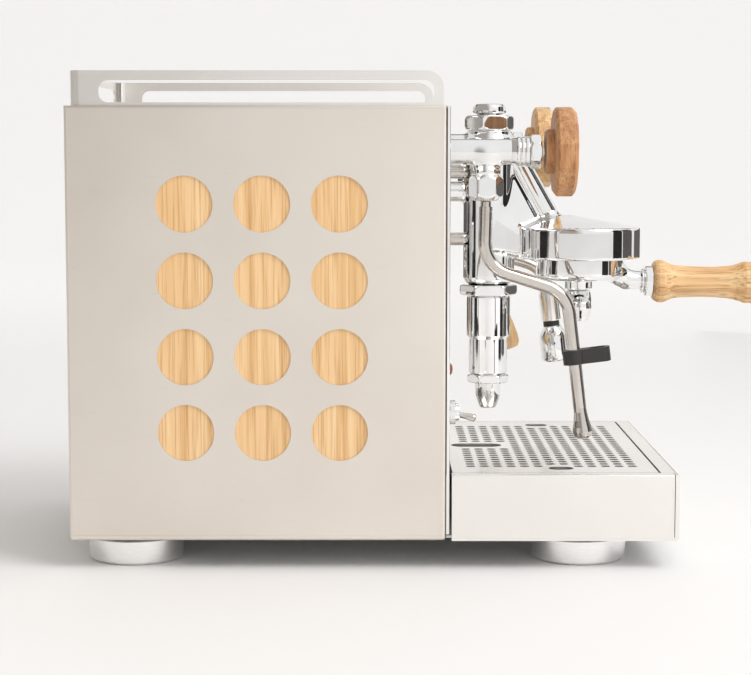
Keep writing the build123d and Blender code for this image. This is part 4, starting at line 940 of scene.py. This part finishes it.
# %% Knobs
knob_ahead, knob_thickness, knob_flats, knob_sides = 78.4, 15.9, 63.0, 12
screw_bore = 4.06
far = knob_ahead + knob_thickness
flat = knob_flats / 2
knobs = (("steam", -valve_x, steam_z, 6, "dark_oak"), ("water", valve_x, water_z, 14, "oak"))
for label, x, z, twist, wood in knobs:
    outline = [(screw_bore, knob_ahead - 1), (14.0, knob_ahead - 1), (14.0, knob_ahead)]
    outline += [(flat - 2.6, knob_ahead), (flat, knob_ahead + 2.2), (flat, far - 2.6)]
    outline += [(flat - 3.2, far), (screw_bore, far)]
    wheel = turned(label + "_knob_wheel", outline, (x, 0, z), (0, -1, 0), knob_sides, twist, soften=0.7)
    hub_outline = [(screw_bore, knob_ahead - 5.9), (14.6, knob_ahead - 5.9), (16.2, knob_ahead - 4.4)]
    hub_outline += [(16.2, knob_ahead + 0.4), (screw_bore, knob_ahead + 0.4)]
    hub = turned(label + "_knob_hub", hub_outline, (x, 0, z), (0, -1, 0), soften=0.5)
    screw_outline = [(0, far - 1.0), (4.0, far - 1.0), (4.0, far - 0.2), (0, far - 0.2)]
    screw = turned(label + "_knob_screw", screw_outline, (x, 0, z), (0, -1, 0), soften=0.2)
    for piece in (wheel, hub):
        settle(piece, label + "_knob", wood, wood + "_end")
        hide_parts(label + "_knob")
    settle(screw, label + "_knob", "chrome")
    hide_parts(label + "_knob")
    print(label, "knob is", knob_flats, "mm across its flats")

# %% [markdown]
# ## Portafilter
# The cup, its neck and the collar are one brass forging, chromed and polished. The neck leaves the
# cup's lower edge as a thick root, dips, and runs out level to the collar that the handle butts on.

# %% Portafilter forging
cup_radius, cup_rim, cup_floor = 32.7, 226.0, 198.4
handle_z, handle_start, handle_droop = 197.0, 164.2, math.radians(0.9)
neck_points = [(0, -131.0, 208.0), (0, -139.5, 201.0), (0, -146.0, 197.4), (0, -158.0, 197.1)]


def portafilter(p):
    """Cup, spout boss and neck, hollowed for the basket."""
    cup = post(p, 0, bell_y, cup_floor, cup_rim, cup_radius, 5.0)
    cup = np.minimum(cup, post(p, 0, bell_y, 208.0, cup_rim, cup_radius, 0.4))
    neck = capsule(p, neck_points[0], neck_points[1], 7.8)
    for start, end in zip(neck_points[1:], neck_points[2:]):
        neck = blend(neck, capsule(p, start, end, 7.6), 3.0)
    shape = blend(cup, neck, 7.0)
    shape = blend(shape, post(p, 0, bell_y, 190.6, 200.0, 10.6, 1.0), 2.0)
    ears = post(p, 0, bell_y, 219.0, 223.6, 35.3, 0.5)
    ears = np.maximum(ears, np.abs(p[:, 1] - bell_y) - 6.0)
    shape = np.minimum(shape, ears)
    shape = np.maximum(shape, 190.7 - p[:, 2])
    return carve(shape, post(p, 0, bell_y, 204.0, 240.0, 30.6, 0.5), 0.5)


forging = cast("portafilter_forging", portafilter, (-40, -162, 187), (40, -66, 230), 1.1)
handle_axis = (0, -math.cos(handle_droop), -math.sin(handle_droop))
collar_outline = [(0, -9.6), (7.6, -9.6), (9.6, -8.6), (9.6, -7.4), (8.9, -6.8), (11.5, -6.0), (11.8, -5.4)]
collar_outline += [(11.8, -0.3), (11.2, 0), (5.0, 0), (5.0, 30.0), (0, 30.0)]
collar = turned("portafilter_collar", collar_outline, (0, -handle_start, handle_z), handle_axis, soften=0.3)
for piece in (forging, collar):
    settle(piece, "portafilter", "chrome")
    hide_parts("portafilter_body")
print("portafilter cup is", cup_radius * 2, "mm across")

# %% [markdown]
# ## Twin spout
# Under the cup a small casting splits the coffee into two streams. A lathe can't make a fork, so
# it is cast like the group: a boss, two short arms and two tips, melted together and then bored.


# %% Twin spout
outlet_spread, outlet_radius, spout_top = 17.0, 6.6, 190.3


def twin_spout(p):
    """A rounded block that splits into two short outlets."""
    shape = post(p, 0, bell_y, 175.5, spout_top, 9.3, 2.5)
    for side in (-1, 1):
        arm = capsule(p, (0, bell_y, 182.0), (side * 15.5, bell_y, 178.0), 8.2)
        tip = post(p, side * outlet_spread, bell_y, 168.0, 182.0, outlet_radius, 1.0)
        shape = blend(shape, blend(arm, tip, 4.0), 4.0)
    for side in (-1, 1):
        shape = carve(shape, post(p, side * outlet_spread, bell_y, 160.0, 176.0, 4.6, 0.5), 0.5)
    return np.maximum(shape, p[:, 2] - spout_top)


spout_block = cast("portafilter_twin_spout", twin_spout, (-27, -119, 165), (27, -95, 193), 0.9)
settle(spout_block, "portafilter", "chrome")
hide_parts("portafilter_spout")

# %% [markdown]
# ## The portafilter's handle
# The portafilter's handle is sawn to eight sides along its whole length. Between a band at each end
# the flats are hollowed to a waist, so that the corners run in a long curve. The grain follows it.
# The turning helper makes it with eight steps, and a bevel takes the edge off the corners.

# %% Portafilter handle
handle_length, handle_sides = 103.8, 8
waist = [(5.1, 0.1), (12.6, 0.1), (15.0, 1.6), (16.1, 4.0), (16.1, 7.6), (14.7, 11.2), (13.2, 14.4)]
waist += [(12.3, 19.0), (11.9, 25.0), (11.6, 32.0), (11.45, 40.0), (11.6, 48.3), (12.1, 55.5)]
waist += [(12.9, 62.0), (14.2, 67.0)]
waist += [(15.75, 70.8), (15.75, handle_length - 3.0), (13.5, handle_length - 0.5), (0, handle_length)]
waist += [(0, 30.3), (5.1, 30.3)]
handle_origin = (0, -handle_start, handle_z)
handle = turned("portafilter_grip", waist, handle_origin, handle_axis, handle_sides, 0, soften=0.55)
settle(handle, "portafilter", "oak", "oak_along")
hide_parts("portafilter_handle")
print("portafilter handle is", handle_length, "mm long with", handle_sides, "sides")

# %% [markdown]
# ## The lever's grip
# The brew lever ends in a small paddle of the same oak. It is narrow at the stem and swells to a
# rounded end that fits two fingers. It hangs a little forward of straight down when at rest.

# %% Lever grip
lever_x, lever_hang = 62.0, math.radians(15)
lever_axis = (0, -math.sin(lever_hang), -math.cos(lever_hang))
paddle = [(0, 27.2), (6.4, 27.2), (7.4, 30.0), (7.6, 36.0), (8.0, 43.0), (8.8, 50.0), (9.8, 58.0)]
paddle += [(10.7, 66.0), (10.5, 71.5), (8.6, 75.0), (4.6, 75.9), (0, 75.9)]
lever_origin = (lever_x, column_y, lever_z)
lever_grip = turned("lever_grip", paddle, lever_origin, lever_axis, handle_sides, 0, soften=0.8)
settle(lever_grip, "brew_lever", "oak")
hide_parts("lever_handle")
print("lever grip hangs at", round(math.degrees(lever_hang)), "degrees")

# %% [markdown]
# ## Hot-water nozzle
# The nozzle is three parts on the end of the wand: a satin sleeve that slides up to cool the grip,
# a black ring, and a chrome cup that calms the water.

# %% Hot-water nozzle
wand_slope, wand_bend_ahead, wand_bend_z = 0.121, 89.4, 200.5
nozzle_joint_z, lean = 158.0, math.atan(wand_slope)
nozzle_y = -(wand_bend_ahead + (wand_bend_z - nozzle_joint_z) * wand_slope)
down = (0, -math.sin(lean), -math.cos(lean))
sleeve_outline = [(4.85, -0.4), (7.6, -0.4), (8.0, -0.9), (8.0, -22.0), (7.2, -25.0), (5.6, -26.8)]
sleeve_outline += [(4.85, -27.0)]
ring_outline = [(0, 0.1), (6.6, 0.1), (6.6, 6.4), (0, 6.4)]
cup_outline = [(5.0, 33.0), (9.4, 33.0), (11.0, 31.6), (11.3, 29.6), (11.3, 12.4), (10.4, 9.4)]
cup_outline += [(7.2, 5.0), (7.2, 4.0), (0, 4.0), (0, 28.0), (5.0, 28.0)]
nozzle_parts = (
    ("sleeve", sleeve_outline, "wand_steel", "satin_steel"),
    ("ring", ring_outline, "rubber", "rubber"),
    ("cup", cup_outline, "chrome", "chrome"),
)
joint_place = (valve_x, nozzle_y, nozzle_joint_z)
for label, outline, slot_name, look in nozzle_parts:
    part = turned("water_nozzle_" + label, outline, joint_place, down, soften=0.25)
    settle(part, "water_wand", slot_name, look)
    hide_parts("water_nozzle")
print("nozzle has", len(nozzle_parts), "pieces")

# %% [markdown]
# ## The gauge's face
# The gauge is a steel case with a needle on a pin, and behind the needle lies a white face with
# printed marks. A picture could draw the marks, but thin raised bars do the same without one,
# and they stay sharp from close by. A loop lays one bar for each mark along the needle's sweep.

# %% Gauge face and marks
gauge_low, gauge_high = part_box("gauge_case")
gauge_x, gauge_z = (gauge_low.x + gauge_high.x) / 2 / MM, (gauge_low.z + gauge_high.z) / 2 / MM
face_depth, pin_hole, face_radius = 5.0, 1.4, 22.2
face_y = gauge_low.y / MM + face_depth
face_outline = [(pin_hole, 0.05), (face_radius, 0.05), (face_radius, 0.45), (pin_hole, 0.45)]
gauge_face = turned("gauge_face", face_outline, (gauge_x, face_y, gauge_z), (0, -1, 0))
settle(gauge_face, "machine", "seat_plastic")

mark_count, sweep_start, sweep_angle = 25, 225, 240
mark_outer, long_inner, short_inner = 20.6, 16.8, 18.6
long_half_width, short_half_width = 0.42, 0.2
box_faces = [(3, 2, 1, 0), (4, 5, 6, 7), (0, 1, 5, 4), (1, 2, 6, 5), (2, 3, 7, 6), (3, 0, 4, 7)]
mark_verts, mark_faces = [], []
for i in range(mark_count):
    is_long = i % 3 == 0
    angle = math.radians(sweep_start - sweep_angle * i / (mark_count - 1))
    outward = Vector((math.cos(angle), 0, math.sin(angle)))
    half_width = long_half_width if is_long else short_half_width
    across = Vector((-math.sin(angle), 0, math.cos(angle))) * half_width
    inner = long_inner if is_long else short_inner
    first = len(mark_verts)
    for ahead in (0.40, 0.56):
        for reach, side in ((mark_outer, -1), (mark_outer, 1), (inner, 1), (inner, -1)):
            spot = Vector((gauge_x, face_y - ahead, gauge_z)) + outward * reach + across * side
            mark_verts.append(spot * MM)
    mark_faces += [tuple(first + k for k in face) for face in box_faces]
gauge_marks = new_object("gauge_marks", mesh_from("gauge_marks", mark_verts, mark_faces))
settle(gauge_marks, "machine", "black_plastic")
print("gauge face has", mark_count, "marks")
